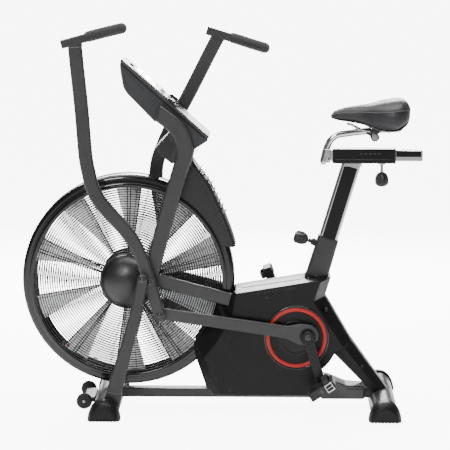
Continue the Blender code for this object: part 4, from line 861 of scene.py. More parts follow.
for side, s in SIDES:
    dome = []
    n = 28
    for k in range(n + 1):
        a = math.pi / 2 * k / n
        dome.append((HUB_R * math.cos(a), 63 + (HUB_DEPTH - 3) * math.sin(a) ** 1.0))
    prof = [(HUB_R - 6, 59.8), (HUB_R + 2.2, 59.8), (HUB_R + 3.0, 60.8), (HUB_R + 3.0, 61.8), (HUB_R + 2.0, 62.8), (HUB_R + 0.4, 63.0)] + dome[:-1] + [(0.0, dome[-1][1]), (0.0, 60.0)]
    hub_slot = cutter(prism(taper_round(PIVOT, 24.5, FAN, 18.5), *sorted((s * 102.0, s * 108.0))))
    piece(f"dome_{side}", lathe([(max(r, 0.0), s * y) for r, y in prof], *FAN, n=128), "frame", GLOSS, f"hub_cap_{side}", cuts=[hub_slot], sharp=40)
    # small bracket below the hub
    piece(f"hub_tab_{side}", merged(tube3d([(-300, s * 66, 352), (-294, s * 66.6, 336), (-290, s * 66, 318), (-284, s * 64, 309)], 2.6, 12, 4, 3), tube3d([(-308, s * 65, 349), (-300, s * 66, 352), (-296, s * 65, 346)], 2.2, 12, 4, 3)), "frame", BLACK_BOLT)
    piece(f"hub_tab_screws_{side}", merged(disc_bolt(-296, 343, 67.0, s, 2.4, 2.0), disc_bolt(-288, 316, 66.4, s, 2.2, 1.8), disc_bolt(-285, 330, 65.4, s, 1.9, 1.6)), "frame", BOLT)

# fan: wedge blades on a drum; dark tubes along each blade's leading edge and a little in from it are painted shade
# lines of a folded edge
blades, edges, tips = [], [], []
for k in range(10):
    a = math.radians(154 + 36 * k)
    er, et = Vector((math.cos(a), math.sin(a))), Vector((-math.sin(a), math.cos(a)))

    def bpnt(r, t, y):
        return (FAN[0] + er.x * r + et.x * t, y, FAN[1] + er.y * r + et.y * t)

    secs = []
    for i in range(13):
        f = i / 12
        r = 58 + (302 - 58) * f
        w = 8 + 84 * f ** 1.25
        row_top, row_low = [], []
        for j in range(9):
            g = j / 8
            t = w * (g ** 0.9)
            y = -44 + 88 * g + 5.0 * math.sin(g * math.pi) * f
            row_top.append(P(*bpnt(r, t, y - 0.8)))
            row_low.append(P(*bpnt(r, t + 0.7, y + 0.8)))
        secs.append(row_top + row_low[::-1])
    blades.append(loft(secs))
    for off, rad in ((-1.0, 2.1), (11.0, 1.0)):
        edges.append(tube3d([bpnt(r, off * (0.4 + 0.6 * (r - 56) / 238), -45.0 - (0.6 if off < 0 else -2.0)) for r in (58, 140, 220, 302)], rad, 8, 4, 2))
    if k in (2, 3, 5):
        tips.append(prism([(bpnt(287, 2, 0)[0], bpnt(287, 2, 0)[2]), (bpnt(296, 2, 0)[0], bpnt(296, 2, 0)[2]), (bpnt(296, 12, 0)[0], bpnt(296, 12, 0)[2]), (bpnt(287, 12, 0)[0], bpnt(287, 12, 0)[2])], -50, -44))
piece("rotor_blades", merged(*blades), "fan", BLADE, "fan_rotor", sharp=30)
piece("rotor_edge_shade_lines", merged(*edges), "fan", EDGE_SHADE_AND_DRUM)
piece("rotor_clips", merged(*tips), "fan", RED_DARK, bevel=1.0, segments=2)
piece("rotor_drum", lathe([(9.3, -41), (40, -41), (64, -34), (68, -30), (68, 30), (64, 34), (40, 41), (9.3, 41)], *FAN, n=96), "fan", EDGE_SHADE_AND_DRUM, bevel=1.5)

# ---------------------------------------------------------------- wind guard
BACK = [(-105, 826), (-91, 799), (-68, 768), (-43, 733), (-25.5, 697), (-8.5, 661), (8.5, 624), (28, 574), (41.5, 530)]
BACK_S = smooth_path(BACK, 6)


def shifted(pts, d):
    """Open line moved to its inner side by d."""
    out = []
    for i, p in enumerate(pts):
        a, b = pts[max(i - 1, 0)], pts[min(i + 1, len(pts) - 1)]
        L = math.hypot(b[0] - a[0], b[1] - a[1])
        out.append((p[0] + (b[1] - a[1]) / L * d, p[1] - (b[0] - a[0]) / L * d))
    return out


GUARD_IN = [(FAN[0] + 322 * math.cos(math.radians(a)), FAN[1] + 322 * math.sin(math.radians(a))) for a in [20.8 + 42.7 * k / 18 for k in range(19)]]
inner_back = shifted(BACK_S, 6.0)
guard = inner_back + GUARD_IN + [(-134, 790)]
guard_band_cut = cutter(lathe([(0, -62.6), (345.5, -62.6), (345.5, 62.6), (0, 62.6)], *FAN, n=144))
piece("guard_shell", prism(guard, -62.8, 62.8), "frame", GUARD, "wind_guard", bevel=9, segments=6, angle=50, cuts=[cutter(lathe([(0, -57.5), (344.5, -57.5), (344.5, 57.5), (0, 57.5)], *FAN, n=144))], sharp=30)
louvre = BACK_S[2:] + shifted(BACK_S, 9.0)[2:][::-1]
piece("guard_louvre", prism(louvre, -50, 50), "frame", KNOB, bevel=1.5, segments=3, angle=40, sharp=34)
fins = []


def back_point(t):
    seg = [math.dist(a, b) for a, b in zip(BACK_S, BACK_S[1:])]
    d = t * sum(seg)
    for (a, b), L in zip(zip(BACK_S, BACK_S[1:]), seg):
        if d <= L:
            tx, tz = (b[0] - a[0]) / L, (b[1] - a[1]) / L
            return (a[0] + tx * d, a[1] + tz * d), (-tz, tx), (tx, tz)
        d -= L
    return BACK_S[-1], (1, 0), (0, -1)


for k in range(9):
    (x, z), (nx, nz), (tx, tz) = back_point(0.185 + k * 0.0605)
    fins.append(prism([(x - tx * 1.6, z - tz * 1.6), (x + nx * 7.2 - tx * 5.0, z + nz * 7.2 - tz * 5.0), (x + nx * 7.8 - tx * 2.8, z + nz * 7.8 - tz * 2.8), (x + tx * 2.2, z + tz * 2.2)], -46, 46))
piece("guard_fins", merged(*fins), "frame", KNOB, bevel=0.5, segments=2, angle=40)
piece("guard_seam", merged(*[tube3d([(x, s * 62.6, z) for x, z in shifted(BACK_S, 17.0)[6:-2:3]], 0.9, 8, 3) for s in (-1, 1)]), "frame", GUARD)

# ---------------------------------------------------------------- console
PLATE_A, PLATE_B = (-319, 1135), (-40.7, 887.1)
pl = math.dist(PLATE_A, PLATE_B)
pux, puz = (PLATE_B[0] - PLATE_A[0]) / pl, (PLATE_B[1] - PLATE_A[1]) / pl
pnx, pnz = -puz, pux


def plate_pt(t, h):
    return (PLATE_A[0] + pux * t + pnx * h, PLATE_A[1] + puz * t + pnz * h)


def plate_slab(t0, t1, half, c, h0, h1, n=8):
    """Rounded slab on the console's plane, from depth h0 to h1."""
    cx = (t0 + t1) / 2
    bm = bmesh.new()
    ring = []
    for a, b in rounded((t1 - t0) / 2, half, c, n):
        x, z = plate_pt(cx + a, h0)
        ring.append(bm.verts.new(P(x, b, z)))
    f = bm.faces.new(ring)
    r = bmesh.ops.extrude_face_region(bm, geom=[f])
    up = [v for v in r["geom"] if isinstance(v, bmesh.types.BMVert)]
    bmesh.ops.translate(bm, verts=up, vec=Vector((pnx * (h1 - h0) * MM, 0, pnz * (h1 - h0) * MM)))
    clean(bm)
    return bm


piece("console_face", plate_slab(0, pl, 84, 16, -11, -1.2), "frame", CONSOLE, "console_panel", bevel=3.5, segments=5, angle=50, sharp=40)
piece("console_bezel", plate_slab(48, 236, 76, 14, -1.6, 0.6), "frame", GUARD, bevel=0.8, segments=3)
piece("console_window", plate_slab(58, 226, 69, 8, 0.2, 1.6), "frame", SCREEN, "console_screen", bevel=0.5, segments=2)
keys = [plate_slab(254, 276, 12, 6, -1.6, 0.6)]
for yk in (-52, 52):
    b = plate_slab(252, 278, 18, 7, -1.6, 0.2)
    bmesh.ops.translate(b, verts=b.verts, vec=Vector((0, yk * MM, 0)))
    keys.append(b)
piece("console_keys", merged(*keys), "frame", KNOB, bevel=0.8, segments=3)
bars = []
for t, ys0, ys1 in ((80, -58, -8), (80, 8, 58), (112, -58, -8), (112, 8, 58), (144, -58, 58), (176, -58, -22), (176, -14, 22), (176, 30, 58), (204, -58, 58)):
    bars.append(prism([plate_pt(t, 1.2), plate_pt(t + 14, 1.2), plate_pt(t + 14, 1.68), plate_pt(t, 1.68)], ys0, ys1))
piece("console_fields", merged(*bars), "frame", moulded("display_field", (0.028, 0.034, 0.034), (0.04, 0.048, 0.048), 0.2))
# small raised piece near the top of the face and the ledge under it
piece("console_sensor", merged(*[plate_slab(30, 44, 8, 5, -1.4, 3.6)]), "frame", GUARD, bevel=1.0, segments=3)
CONSOLE_BODY = [plate_pt(3, -11.2), plate_pt(pl - 4, -11.2), (-46, 874), (-94, 843), (-134, 812), (-161, 799), (-190, 821), (-200, 834), (-210, 850), (-175, 892), (-168, 905), (-205, 938), (-215, 933), (-306, 1026.6), (-315.7, 1044.4), (-323.4, 1088.8), (-326, 1116)]
piece("console_back", prism(CONSOLE_BODY, -75.6, 75.6), "frame", CONSOLE, "console_body", bevel=5, segments=5, angle=14, sharp=30)
# a black slab under the console face, wider than the body, paints the shadow band below the face's edge
piece("console_painted_shadow_band", prism([plate_pt(pl * 0.02 + 8, -11), plate_pt(pl - 12, -11), plate_pt(pl - 14, -17), plate_pt(16, -17)], -79.5, 79.5), "frame", BLACK_AND_PAINTED_SHADE, bevel=1.5, segments=2)
rim = []
for s in (-1, 1):
    rim.append(tube3d([(-313, s * 75.8, 1082), (-306, s * 75.9, 1046), (-298, s * 75.8, 1029)], 1.8, 10, 5, 2))
    rim.append(tube3d([(-200.3, s * 102.0, 974.5), (-206, s * 102.2, 958), (-213.2, s * 101.6, 939.5)], 1.1, 8, 4, 2))
piece("console_rim_lines", merged(*rim), "frame", TOP_COAT)
ledge = []
for s in (-1, 1):
    ledge.append(prism([plate_pt(191, -1.0), plate_pt(226, -1.0), plate_pt(222, 9.5), plate_pt(196, 8.0)], *ys(s, (70, 83))))
piece("console_ledge", merged(*ledge), "frame", GUARD, bevel=2.2, segments=4, angle=30)
piece("console_ledge_screw", merged(*[tube3d([(*[plate_pt(222, 5)[0]], s * 80, plate_pt(222, 5)[1]), (*[plate_pt(222, 5)[0]], s * 84.4, plate_pt(222, 5)[1])], 3.2, 16, 1, 3) for s in (-1, 1)]), "frame", BOLT)

# ---------------------------------------------------------------- crank, rods, pedals
for side, s in SIDES:
    k = -s
    j = (CRANK[0] + k * JOURNAL[0], CRANK[1] + k * JOURNAL[1])
    p = (CRANK[0] + k * PEDAL_OFF[0], CRANK[1] + k * PEDAL_OFF[1])
    disc = lathe([(0, s * 101.4), (40, s * 101.4), (40, s * 98.8), (59, s * 98.8), (59, s * 100.8), (57.6, s * 102.0), (56, s * 102.4), (50, s * 102.4), (49, s * 101.7), (46.5, s * 101.7), (45.5, s * 102.4), (0, s * 102.4)], *CRANK, n=128)
    web = prism(obround(CRANK, j, 21), *ys(s, (101.8, 109.0)))
    pin = cyl(*j, 12, *ys(s, (108.0, 134.4)), 48)
    piece(f"hub_disc_{side}", merged(disc, web, pin), "crank", CRANKM, f"crank_hub_{side}", bevel=0.8, segments=3, angle=50, sharp=36)
    piece(f"crank_{side}", prism(taper_round(j, 20, p, 13, 28), *ys(s, Y_CRANK)), "crank", CRANKM, f"crank_arm_{side}", bevel=3.4, segments=5, angle=50, sharp=40)
    # groove along the crank's face and the journal bolt in its dark boss
    g0 = (j[0] * 0.84 + p[0] * 0.16, j[1] * 0.84 + p[1] * 0.16)
    g1 = (j[0] * 0.12 + p[0] * 0.88, j[1] * 0.12 + p[1] * 0.88)
    piece(f"crank_rib_{side}", prism(taper_round(g0, 9.0, g1, 6.0), *ys(s, (147.6, 148.5))), "crank", CRANKM, bevel=0.5, segments=2, angle=50)
    piece(f"crank_boss_{side}", lathe([(7.5, s * 147), (19.0, s * 147), (19.0, s * 149.2), (17.4, s * 150.4), (12, s * 150.4), (10.5, s * 149.0), (7.5, s * 149.0)], *j, n=72), "crank", BLACK_AND_PAINTED_SHADE, sharp=36)
    piece(f"crank_bolt_{side}", disc_bolt(j[0], j[1], 148.8, s, 7.6, 5.6), "crank", DARK_BOLT)
    piece(f"spindle_{side}", merged(lathe([(0, s * 146), (9.5, s * 146), (9.5, s * 152.6), (8.2, s * 153.4), (6.5, s * 153.4), (6.5, s * 242), (0, s * 242)], *p, n=40)), "crank", STEEL)
    if s < 0:
        small = PIN
    else:
        a = math.radians(-ARM_SWING)
        vx, vz = PIN[0] - PIVOT[0], PIN[1] - PIVOT[1]
        small = (PIVOT[0] + vx * math.cos(a) - vz * math.sin(a), PIVOT[1] + vx * math.sin(a) + vz * math.cos(a))
    dx, dz = j[0] - small[0], j[1] + 3 - small[1]
    L = math.hypot(dx, dz)
    ux, uz = dx / L, dz / L
    up_l, lo_l = [], []
    for i in range(41):
        t = L * i / 40
        f = i / 40
        w = 18.5 + 2.2 * f
        rest = max(0.0, (t - (L - 74)) / 52)
        w += 13.2 * (3 * min(rest, 1) ** 2 - 2 * min(rest, 1) ** 3)
        cx, cz = small[0] + ux * t, small[1] + uz * t
        up_l.append((cx - uz * w, cz + ux * w))
        lo_l.append((cx + uz * w, cz - ux * w))
    a0 = math.atan2(uz, ux)
    big = [(j[0] + 33.9 * math.cos(a0 + math.radians(q)), j[1] + 3 + 33.9 * math.sin(a0 + math.radians(q))) for q in range(84, -85, -6)]
    sm = [(small[0] + 18.5 * math.cos(a0 + math.radians(q)), small[1] + 18.5 * math.sin(a0 + math.radians(q))) for q in range(-96, -265, -8)]
    outline = up_l[:-1] + big + lo_l[:-1][::-1] + sm
    piece(f"rod_{side}", prism(outline, *ys(s, Y_ROD)), f"rod_{side}", FRAME_COAT, f"con_rod_{side}", bevel=4.6, segments=5, angle=50, sharp=40)
    piece(f"rod_face_{side}", merged(lathe([(13.0, s * 129), (27, s * 129), (27, s * 130.4), (25.4, s * 131.0), (13.0, s * 131.0)], *j, n=72)), f"rod_{side}", CRANKM, sharp=36)

    # pedal
    tilt = math.radians(34 if s < 0 else 111)
    ct, st = math.cos(tilt), math.sin(tilt)

    def pt(a, b):
        return (p[0] + ct * a - st * b, p[1] + st * a + ct * b)

    def pt3(a, b, y):
        q = pt(a, b)
        return (q[0], y, q[1])

    wins = [cutter(prism([pt(x0, -30), pt(x1, -30), pt(x1, 30), pt(x0, 30)], *ys(s, (172.0, 230.0)))) for x0, x1 in ((-35, -15), (15, 35))]
    dents = [cutter(prism([pt(x0, b0), pt(x1, b0), pt(x1, b1), pt(x0, b1)], *ys(s, (243.0, 250.0)))) for x0, x1, b0, b1 in ((-37, -14, -8, 8), (14, 37, -8, 8))]
    piece(f"pedal_block_{side}", prism([pt(-45, -9), pt(-41, -13), pt(41, -13), pt(45, -9), pt(45, 9), pt(41, 13), pt(-41, 13), pt(-45, 9)], *ys(s, Y_PEDAL)), f"pedal_{side}", PEDAL, f"pedal_{side}", bevel=2.2, segments=4, angle=30, cuts=wins + dents, sharp=34)
    teeth = []
    for q in range(9):
        for b in (-13, 13):
            for aa in (-41.5, 41.5):
                yy = s * (163 + 9.5 * q)
                sg = 1 if b > 0 else -1
                teeth.append(tube3d([pt3(aa, b - sg * 1.5, yy), pt3(aa, b + sg * 1.7, yy)], lambda f: 2.6 - 1.2 * f, 10, 1))
    piece(f"pedal_teeth_{side}", merged(*teeth), f"pedal_{side}", PEDAL, sharp=50)
    piece(f"pedal_end_{side}", merged(lathe([(0, s * 241), (7.5, s * 241), (7.5, s * 246.4), (6.2, s * 247.4), (3.0, s * 247.4), (2.6, s * 246.6), (0, s * 246.6)], *p, n=40), *[lathe([(0, s * 242.4), (3.0, s * 242.4), (3.0, s * 245.2), (2.0, s * 246.0), (0, s * 246.0)], *pt(aa, 0), n=28) for aa in (-25.5, 25.5)]), f"pedal_{side}", DARK_BOLT, sharp=40)
    # toe strap: a curved band hugging the front half, with a plated buckle on its outer side
    loop_o = smooth_ring([(153.4, -11), (157, -15.6), (201, -15.9), (245, -15.6), (248.6, -11), (248.6, 12), (244.5, 22.5), (233, 27.6), (201, 29.2), (169, 27.6), (157.5, 22.5), (153.4, 12)], 5)
    mid_y, mid_b = 201.0, 8.0
    rows = [[], [], [], []]
    for yy, b in loop_o:
        vy, vb = yy - mid_y, b - mid_b
        LL = math.hypot(vy, vb)
        iy, ib = yy - vy / LL * 2.3, b - vb / LL * 2.3
        for r_, (q1, q2, aa) in enumerate(((yy, b, 15.2), (yy, b, 34.8), (iy, ib, 34.8), (iy, ib, 15.2))):
            rows[r_].append((q1, q2, aa))
    bm = bmesh.new()
    vr = [[bm.verts.new(P(*pt3(aa, b, s * yy))) for yy, b, aa in row] for row in rows]
    nn = len(vr[0])
    for i in range(nn):
        i2 = (i + 1) % nn
        for kk in range(4):
            m = (kk + 1) % 4
            bm.faces.new((vr[kk][i], vr[kk][i2], vr[m][i2], vr[m][i]))
    clean(bm)
    piece(f"toe_strap_{side}", bm, f"pedal_{side}", STRAPM, f"pedal_strap_{side}", bevel=0.7, segments=2, angle=50, sharp=40)
    buckle = []
    yb = 249.4
    for a0_, b0_, a1_, b1_ in ((15.5, -13.0, 38.5, -13.0), (38.5, -13.0, 38.5, 10.0), (38.5, 10.0, 15.5, 10.0), (15.5, 10.0, 15.5, -13.0)):
        buckle.append(tube3d([pt3(a0_, b0_, s * yb), pt3((a0_ + a1_) / 2, (b0_ + b1_) / 2, s * (yb + 0.3)), pt3(a1_, b1_, s * yb)], 2.3, 12, 3, 3))
    buckle.append(tube3d([pt3(38.0, -1.5, s * (yb + 0.6)), pt3(27, -1.5, s * (yb + 1.0)), pt3(16.0, -1.5, s * (yb + 0.6))], 1.2, 10, 3, 2))
    piece(f"buckle_{side}", merged(*buckle), f"pedal_{side}", BUCKLE, sharp=60)
    ribs = []
    for q in range(9):
        yy = 176 + 6.2 * q
        ribs.append(tube3d([pt3(17.5, 29.0 - abs(yy - 201) ** 2 * 0.0012, s * yy), pt3(32.5, 29.0 - abs(yy - 201) ** 2 * 0.0012, s * yy)], 0.8, 8, 1, 2))
    piece(f"strap_ribs_{side}", merged(*ribs), f"pedal_{side}", STRAPM)

# ---------------------------------------------------------------- handle arms
ARM_LINE = [(-461, 1181, 44), (-455.5, 1118, 44), (-449, 1053, 44), (-441, 968, 44), (-431, 836, 44), (-421.5, 780, 44), (-411, 736, 44), (-389, 691, 44), (-352, 646, 43.5), (-310, 600, 43), (-278, 555, 41), (-256.5, 509, 39.5), (-241, 462, 39), (-230.5, 430, 38.5), (-214, 375, 38), (PIN[0], PIN[1], 38)]


def turned(pt_, deg):
    a = -math.radians(deg)
    vx, vz = pt_[0] - PIVOT[0], pt_[1] - PIVOT[1]
    return (PIVOT[0] + vx * math.cos(a) - vz * math.sin(a), PIVOT[1] + vx * math.sin(a) + vz * math.cos(a))


for side, s in SIDES:
    deg = 0.0 if s < 0 else ARM_SWING
    outline = [turned(q, deg) for q in ribbon(ARM_LINE, 5, "flat", "round")]
    piece(f"handle_{side}", prism(outline, *ys(s, Y_ARM)), f"arm_{side}", FRAME_COAT, f"arm_{side}", bevel=7, segments=5, angle=50, sharp=40)
    yc = s * 147.0

    def g3(x, z, y):
        q = turned((x, z), deg)
        return (q[0], y, q[1])

    rows = []
    for x, z, k in ((-500.5, 1184.6, 0.93), (-500, 1184.8, 1.0), (-462, 1195.2, 1.0), (-421, 1206.6, 1.0), (-413, 1208.9, 0.97), (-400, 1212.6, 0.9)):
        row = []
        for p_, q_ in rounded(13.6 * k, 13.6 * k, 4.0, 5):
            gx, gy, gz = g3(x - 0.262 * p_, z + 0.965 * p_, yc + q_)
            row.append(P(gx, gy, gz))
        rows.append(row)
    piece(f"handle_bar_{side}", loft(rows), f"arm_{side}", FRAME_COAT, sharp=40)
    # the arm runs up to the bar, with a bead of weld round the joint
    tops = [(-481.5, 1176), (-438.7, 1176), (-438.9, 1191.5), (-482.2, 1179.6)]
    piece(f"handle_neck_{side}", prism([turned(q, deg) for q in tops], *ys(s, (134.6, 159.4))), f"arm_{side}", FRAME_COAT, bevel=1.0)
    seam = [g3(-482.4, 1178.4, s * 135.4), g3(-460, 1184.4, s * 133.9), g3(-438.5, 1189.8, s * 135.4), g3(-437.8, 1190.2, s * 147), g3(-438.5, 1189.8, s * 158.6), g3(-460, 1184.4, s * 160.1), g3(-482.4, 1178.4, s * 158.6)]
    piece(f"handle_weld_{side}", tube3d(seam, lambda f: 1.9 + 0.35 * math.sin(f * 150), 8, 9, 2), f"arm_{side}", FRAME_COAT)
    # plastic plug in the open end
    rows = []
    for x, z, k in ((-500, 1184.8, 1.02), (-502.5, 1184.1, 1.02), (-504, 1183.7, 0.94)):
        row = []
        for p_, q_ in rounded(13.2 * k, 13.2 * k, 4.0, 5):
            gx, gy, gz = g3(x - 0.262 * p_, z + 0.965 * p_, yc + q_)
            row.append(P(gx, gy, gz))
        rows.append(row)
    piece(f"handle_plug_{side}", loft(rows), f"arm_{side}", KNOB, sharp=40)
    bolt = disc_bolt(*turned(PIN, deg), 159.4, s, 8.0, 5.6)
    inner_bolt = lathe([(0, s * 131), (7.5, s * 131), (7.5, s * 158), (0, s * 158)], *turned(PIN, deg), n=32)
    piece(f"handle_pin_{side}", merged(bolt, inner_bolt), f"arm_{side}", BLACK_BOLT)
    piece(f"handle_pin_ring_{side}", lathe([(11.5, s * 159.4), (14.0, s * 159.4), (14.0, s * 160.5), (12.8, s * 160.9), (11.5, s * 160.5)], *turned(PIN, deg), n=56), f"arm_{side}", LEG_COAT)
    gp = [g3(-419, 1208.2, yc), g3(-400, 1213.6, yc + s * 0.6), g3(-380, 1219, yc + s * 2), g3(-340, 1229, yc + s * 10), g3(-313, 1235.7, yc + s * 21.8)]

    def foam_r(f, lobes=9):
        base = 17.3 - 0.5 * (1 - min(1.0, f * 14)) ** 2
        return base + 0.16 * math.sin(f * 41) + 0.10 * math.sin(f * 97 + 1.3)

    gb = tube3d(gp, foam_r, 40, 14, 8)
    for v in gb.verts:
        w = noise.noise(v.co * 55.0) * 0.00035 + noise.noise(v.co * 17.0) * 0.0004
        v.co += Vector((w, w * 0.6, w))
    grip = piece(f"foam_grip_{side}", gb, f"arm_{side}", FOAM, f"grip_{side}", sharp=80)

# ---------------------------------------------------------------- seat post and slider
post_cut = cutter(prism([(300, 795.4), (600, 795.4), (600, 900), (300, 900)], -60, 60))
piece("post_chrome", loft([seat_section(h, 30, 18, 7) for h in (-196, -100, 0, 120, 252.5)]), "seat_post", CHROME_POST, "seat_post", cuts=[post_cut], sharp=40)
# a black stripe on each side face of the chrome post paints the dark reflection seen there
piece("post_painted_reflection", merged(*[loft([[P(seat_axis(h)[0] + SEAT_DIR.z * a, s * b, seat_axis(h)[1] - SEAT_DIR.x * a) for a, b in ((-21.5, 17.6), (21.5, 17.6), (21.5, 18.12), (-21.5, 18.12))] for h in (-20, 243)]) for s in (-1, 1)]), "seat_post", coated("post_painted_dark_reflection", (0.005, 0.005, 0.0055), (0.010, 0.010, 0.011), 0.2, 0.1, spec=0.25))
# the adjustment holes are thin black discs on the post, painted shade inside the holes
holes = []
for k in range(9):
    x, z = seat_axis(18 + 24 * k)
    c = (x - SEAT_DIR.z * 29.6, 0, z + SEAT_DIR.x * 29.6)
    holes.append(lathe_dir([(0, 0), (5.6, 0), (5.6, 0.75), (0, 0.75)], c, (-SEAT_DIR.z, 0, SEAT_DIR.x), 28))
piece("post_hole_shade_discs", merged(*holes), "seat_post", BLACK_AND_PAINTED_SHADE)
piece("post_collar", loft([[P(x, y, z) for x, y in [(cx_ + 0.302 * (z - 786), yy) for cx_, yy in [(412.5 + a, b) for a, b in rounded(32.6, 20.4, 8)]]] for z in (786.5, 795.6)]), "seat_post", CHROME, sharp=40)
hole = cutter(prism([(300, 802.2), (600, 802.2), (600, 838.6), (300, 838.6)], -20.4, 20.4))
piece("sleeve_box", prism([(352, 795.8), (553.5, 795.8), (553.5, 843), (352, 843)], -25, 25), "seat_post", CRANKM, "slider_sleeve", bevel=4.5, segments=5, angle=50, cuts=[hole], sharp=40)
piece("sleeve_lip", merged(*[loft([[P(x, y, 819.4 + z) for z, y in rounded(24.4, 26.0, 5)] for x in (a, b)]) for a, b in ((549, 554.6),)]), "seat_post", GUARD, bevel=0.6, segments=2, cuts=[hole], sharp=40)
piece("sleeve_seam", merged(*[prism([(362, 808.2), (545, 808.2), (545, 810.0), (362, 810.0)], *ys(s, (24.7, 25.5))) for s in (-1, 1)]), "seat_post", TOP_COAT, bevel=0.4, segments=2)
piece("sleeve_marks", merged(*[prism([(440 + 14 * k, 826), (440 + 14 * k + 8, 826), (440 + 14 * k + 9.5, 829), (440 + 14 * k + 1.5, 829)], *ys(s, (24.8, 25.3))) for s in (-1, 1) for k in range(5)]), "seat_post", TOP_COAT)
sk = (511.0, 0.0, 795.8)
piece("sleeve_nut", merged(lathe_dir([(5.6, 0.5), (12.6, 0.5), (12.6, -3.5), (11.6, -4.8), (5.6, -4.8)], (511, 0, 795.8), (0, 0, 1), 40)), "seat_post", BOLT, sharp=40)
piece("slide_chrome", prism([(345, 802.6), (639.5, 802.6), (639.5, 838.2), (345, 838.2)], -20, 20), "slider", CHROME, "slider_bar", bevel=3.4, segments=5, angle=50, sharp=40)
piece("slide_end_cap", prism([(637.6, 804.2), (641.2, 804.2), (641.2, 836.6), (637.6, 836.6)], -18.4, 18.4), "slider", GUARD, bevel=1.4, segments=3)
# a black strip on the upper half of each side of the chrome slider paints its dark reflection
piece("slide_painted_reflection", merged(*[prism([(556, 817.5), (636, 817.5), (636, 836.0), (556, 836.0)], *ys(s, (19.6, 20.12))) for s in (-1, 1)]), "slider", coated("slide_painted_dark_reflection", (0.006, 0.006, 0.0065), (0.012, 0.012, 0.013), 0.2, 0.1, spec=0.25))
stem_pts = [(323, 0, 800), (327, 0, 818), (333, 0, 842), (345, 0, 868), (366, 0, 885), (398, 0, 891), (432, 0, 895.5), (468, 0, 899)]
piece("stem_chrome", tube3d(stem_pts, 11, 40, 10, 3), "slider", CHROME, "seat_stem", sharp=60)
piece("stem_foot", merged(prism([(314.5, 797.5), (344.4, 797.5), (344.4, 841.5), (328, 841.5), (320.5, 812)], -19.6, 19.6)), "slider", CHROME, bevel=3, segments=4, angle=14, sharp=30)
piece("stem_bolts", merged(disc_bolt(336, 808, 19.4, -1, 6.2, 4.8), disc_bolt(336, 808, 19.4, 1, 6.2, 4.8), disc_bolt(333, 829, 19.4, -1, 3.4, 3.0), disc_bolt(333, 829, 19.4, 1, 3.4, 3.0)), "slider", BOLT)
# clamp under the saddle
piece("clamp_barrel", merged(lathe([(0, -30), (10, -30), (13.4, -28.6), (14, -27), (14, 27), (13.4, 28.6), (10, 30), (0, 30)], 487, 881, 48)), "slider", BLACK_BOLT, sharp=40)
piece("clamp_web", merged(prism([(460, 889), (470, 885), (487, 869), (495, 880), (487, 894), (470, 906), (460, 909)], -11.5, 11.5)), "slider", BLACK_BOLT, bevel=2, segments=3)
piece("clamp_nuts", merged(hex_bolt(487, 881, 29.6, -1, 7.2, 4.2), hex_bolt(487, 881, 29.6, 1, 7.2, 4.2)), "slider", BOLT, bevel=0.4, segments=2)
# ---------------------------------------------------------------- saddle
SADDLE = [(346, 10, 944, 952), (353, 17, 940.5, 959), (368, 24, 936, 967.5), (395, 31, 932, 976.5), (430, 40, 927, 981.5), (462, 55, 919.5, 985), (490, 76, 910, 991), (518, 94, 905, 997.5), (545, 102, 904.5, 1001.5), (568, 98, 911, 1003), (586, 81, 923, 996), (595, 58, 937, 985), (598.5, 34, 950, 973)]


def saddle_curve(f):
    """Section values at f of 0..1 along the saddle, smoothed."""
    t = f * (len(SADDLE) - 1)
    i = min(int(t), len(SADDLE) - 2)
    t -= i
    a, b, c, d = SADDLE[max(i - 1, 0)], SADDLE[i], SADDLE[i + 1], SADDLE[min(i + 2, len(SADDLE) - 1)]
    return [0.5 * (2 * q + (r - p) * t + (2 * p - 5 * q + 4 * r - s) * t * t + (3 * q - p - 3 * r + s) * t ** 3) for p, q, r, s in zip(a, b, c, d)]


def saddle_point(f, a, swell=0.0):
    x, hw, lo, hi = saddle_curve(f)
    c, sn = math.cos(a), math.sin(a)
    y = hw * math.copysign(abs(c) ** 0.72, c)
    mid = lo + (hi - lo) * 0.42
    z = mid + (hi - mid) * max(sn, 0.0) ** 0.8 - (mid - lo) * max(-sn, 0.0) ** 0.8
    # channel along the middle of the top, and softly pushed-up pads each side of it
    if sn > 0:
        wide = max(0.0, min(1.0, (x - 420) / 90))
        chan = math.exp(-(y / 11.0) ** 2) * 4.5 * max(0.0, min(1.0, (x - 372) / 50)) * max(0.0, min(1.0, (590 - x) / 40))
        pads = math.exp(-((abs(y) - 52) / 26.0) ** 2) * 2.2 * wide * sn
        z += pads - chan
    else:
        # the skirts hang lower than the hollow underside
        span = max(0.0, min(1.0, (x - 418) / 50)) * max(0.0, min(1.0, (592 - x) / 34))
        skirt = max(0.0, min(1.0, (abs(y) - 15) / 22))
        z -= 7.5 * span * skirt * skirt * (3 - 2 * skirt) * min(1.0, -sn * 2.2)
    return x, y, z


SA, SN = 72, 96
secs = []
for i in range(SA + 1):
    f = 0.004 + 0.992 * i / SA
    row = []
    for k in range(SN):
        a = 2 * math.pi * k / SN
        x, y, z = saddle_point(f, a)
        # a soft noise puckers the skin a little; a weight near the side seam is worked out but not applied
        seam = math.exp(-((a % math.pi - (0.10 if a < math.pi else math.pi - 0.10)) / 0.09) ** 2)
        w = Vector((x * 0.02, y * 0.02, z * 0.02))
        puff = noise.noise(w * 1.4) * 0.7 + noise.noise(w * 4.0) * 0.25
        z += puff * 0.8
        row.append(P(x, y * (1 + 0.002 * puff), z))
    secs.append(row)
bm = loft(secs)
saddle = piece("saddle_cover", bm, "saddle", LEATHER, "saddle", sharp=80)


